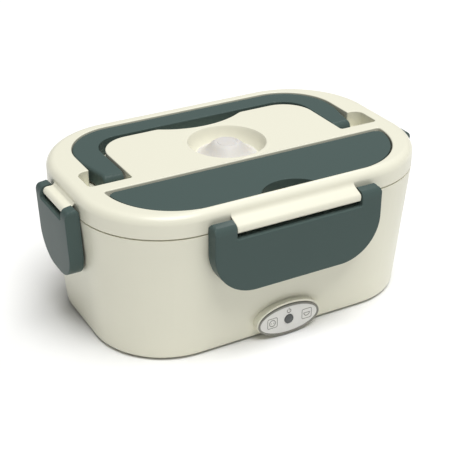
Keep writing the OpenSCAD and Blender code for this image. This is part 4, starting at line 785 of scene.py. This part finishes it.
def stroke(s, points, low, high):
    """A raised flat mark with the given outline."""
    a = s.ring([(x, y, low) for x, y in points])
    b = s.ring([(x, y, high) for x, y in points])
    s.band(a, b)
    s.cap(a)
    s.cap(b)


def panel_face():
    """The white label inside the ring."""
    s = Shell()
    line = oval(RING_A - RING_W + 0.2, RING_B - RING_W + 0.2)
    hole = Outline([(0, 0, LAMP_R + 0.1, 0, 360)], chord=0.4)
    a = s.ring(line.ring(0, -0.7))
    b = s.ring(line.ring(0, 0.05))
    c = s.ring(hole.ring(0, 0.05))
    d = s.ring(hole.ring(0, -0.7))
    s.band(a, b)
    s.band(c, d)
    s.cap(b, c)
    s.cap(a, d)
    return on_panel(s)


def lamp():
    """The dark lens of the panel's lamp, slightly domed, in a thin collar."""
    s = Shell()
    dome = [(LAMP_R - 0.8, 0.55), (LAMP_R - 1.4, 0.72), (LAMP_R - 2.1, 0.83), (0, 0.88)]
    collar = [(0, -0.75), (LAMP_R, -0.75), (LAMP_R, 0.5), (LAMP_R - 0.15, 0.65), (LAMP_R - 0.5, 0.65),
              (LAMP_R - 0.62, 0.5)]
    s.revolve(collar + dome, (0, 0, 0), 64)
    return on_panel(s)


def placed(shell, angle, out):
    s = Shell()
    s.put(shell, on_side(angle, out, PIVOT_Z))
    return s


# ---------------------------------------------------------------- dressing the frame

slots = {row["node"]: row["material_slot"] for row in frame["record"]["subparts"]}


def dress(obj, slot, width=0.5, segments=3):
    """A CAD node with its material, its flat faces joined and its edges softened by width millimetres."""
    obj.data.materials.clear()
    obj.data.materials.append(MATS[slot])
    weld = obj.modifiers.new("weld", "WELD")
    weld.merge_threshold = 0.00001
    flat = obj.modifiers.new("flat", "DECIMATE")
    flat.decimate_type = "DISSOLVE"
    flat.angle_limit = math.radians(0.4)
    bev = obj.modifiers.new("bevel", "BEVEL")
    bev.width = width * MM
    bev.segments = segments
    bev.limit_method = "ANGLE"
    bev.angle_limit = math.radians(38)
    wn = obj.modifiers.new("normals", "WEIGHTED_NORMAL")
    wn.keep_sharp = True
    for p in obj.data.polygons:
        p.use_smooth = True


for name, obj in frame["nodes"].items():
    dress(obj, slots[name])

piece(lid(), "lid_shell_form", "cream_plastic", "lid", "lid_shell")
piece(cover(), "cutlery_cover_form", "green_plastic", "cover", "cutlery_cover")
piece(handle(), "handle_form", "green_plastic", "handle", "handle")
piece(handle_pins(), "handle_pins_form", slots["handle_pins"], "lid", "handle_pins")
piece(valve(), "steam_valve_form", "silicone", "valve", "steam_valve")
for side, angle in (("front", 0), ("rear", 180)):
    piece(placed(long_latch(), angle, CY + RIM + PIVOT_OUT), "latch_" + side + "_form", "green_plastic",
          "latch_" + side, "latch_" + side)
for side, angle in (("right", 90), ("left", -90)):
    piece(placed(short_latch(), angle, CX + RIM + PIVOT_OUT), "latch_" + side + "_form", "green_plastic",
          "latch_" + side, "latch_" + side)
piece(panel_ring(), "panel_ring_form", "ring_grey", "base", "panel_bezel")
piece(panel_face(), "panel_label_form", "label_white", "base", "panel_label")
piece(lamp(), "power_lamp_form", "led_lens", "base", "power_led")

# ---------------------------------------------------------------- camera, floor and light

az, el, roll = (math.radians(v) for v in (-28.96, 28.31, 0.07))
back = Vector((math.sin(az) * math.cos(el), -math.cos(az) * math.cos(el), math.sin(el)))
right = Vector((math.cos(az), math.sin(az), 0))
up = back.cross(right)
rt = right * math.cos(roll) + up * math.sin(roll)
uv = up * math.cos(roll) - right * math.sin(roll)
cam = bpy.data.cameras.new("camera")
cam.lens = 89.41
cam.sensor_width = 36
cam.clip_start = 0.01
cam.clip_end = 20
eye = bpy.data.objects.new("camera", cam)
turn = Matrix((rt, uv, back)).transposed().to_4x4()
eye.matrix_world = Matrix.Translation((-0.31202, -0.55508, 0.38506)) @ turn
bpy.context.scene.collection.objects.link(eye)
bpy.context.scene.camera = eye

floor_mesh = bpy.data.meshes.new("floor")
S = 6
floor_mesh.from_pydata([(-S, -S, 0), (S, -S, 0), (S, S, 0), (-S, S, 0)], [], [(0, 1, 2, 3)])
floor = bpy.data.objects.new("floor", floor_mesh)
bpy.context.scene.collection.objects.link(floor)
floor_mat = plastic("floor", (247, 247, 246), rough=0.9, bump=0, vary=0.01, specular=0.05)
glow = floor_mat.node_tree.nodes["Principled BSDF"]
glow.inputs["Emission Color"].default_value = (1, 1, 1, 1)
glow.inputs["Emission Strength"].default_value = 0
floor_mesh.materials.append(floor_mat)

world = bpy.data.worlds.new("studio")
world.use_nodes = True
world.node_tree.nodes["Background"].inputs[0].default_value = (1, 1, 1, 1)
world.node_tree.nodes["Background"].inputs[1].default_value = 0.17
bpy.context.scene.world = world


def area(name, at, aim, size, power, colour=(1, 1, 1)):
    light = bpy.data.lights.new(name, "AREA")
    light.shape = "RECTANGLE"
    light.size, light.size_y = size
    light.energy = power
    light.color = colour
    o = bpy.data.objects.new(name, light)
    o.location = at
    o.rotation_euler = (Vector(aim) - Vector(at)).to_track_quat("-Z", "Y").to_euler()
    bpy.context.scene.collection.objects.link(o)
    return o


area("overhead", (0.45, 0.36, 0.88), (0, 0, 0.08), (0.28, 0.28), 1.6)
sun = bpy.data.lights.new("sun", "SUN")
sun.energy = 2.95
sun.angle = math.radians(40)
sun_o = bpy.data.objects.new("sun", sun)
sun_o.rotation_euler = (math.radians(16), math.radians(1), 0)
bpy.context.scene.collection.objects.link(sun_o)
bpy.context.scene.view_settings.view_transform = "Standard"
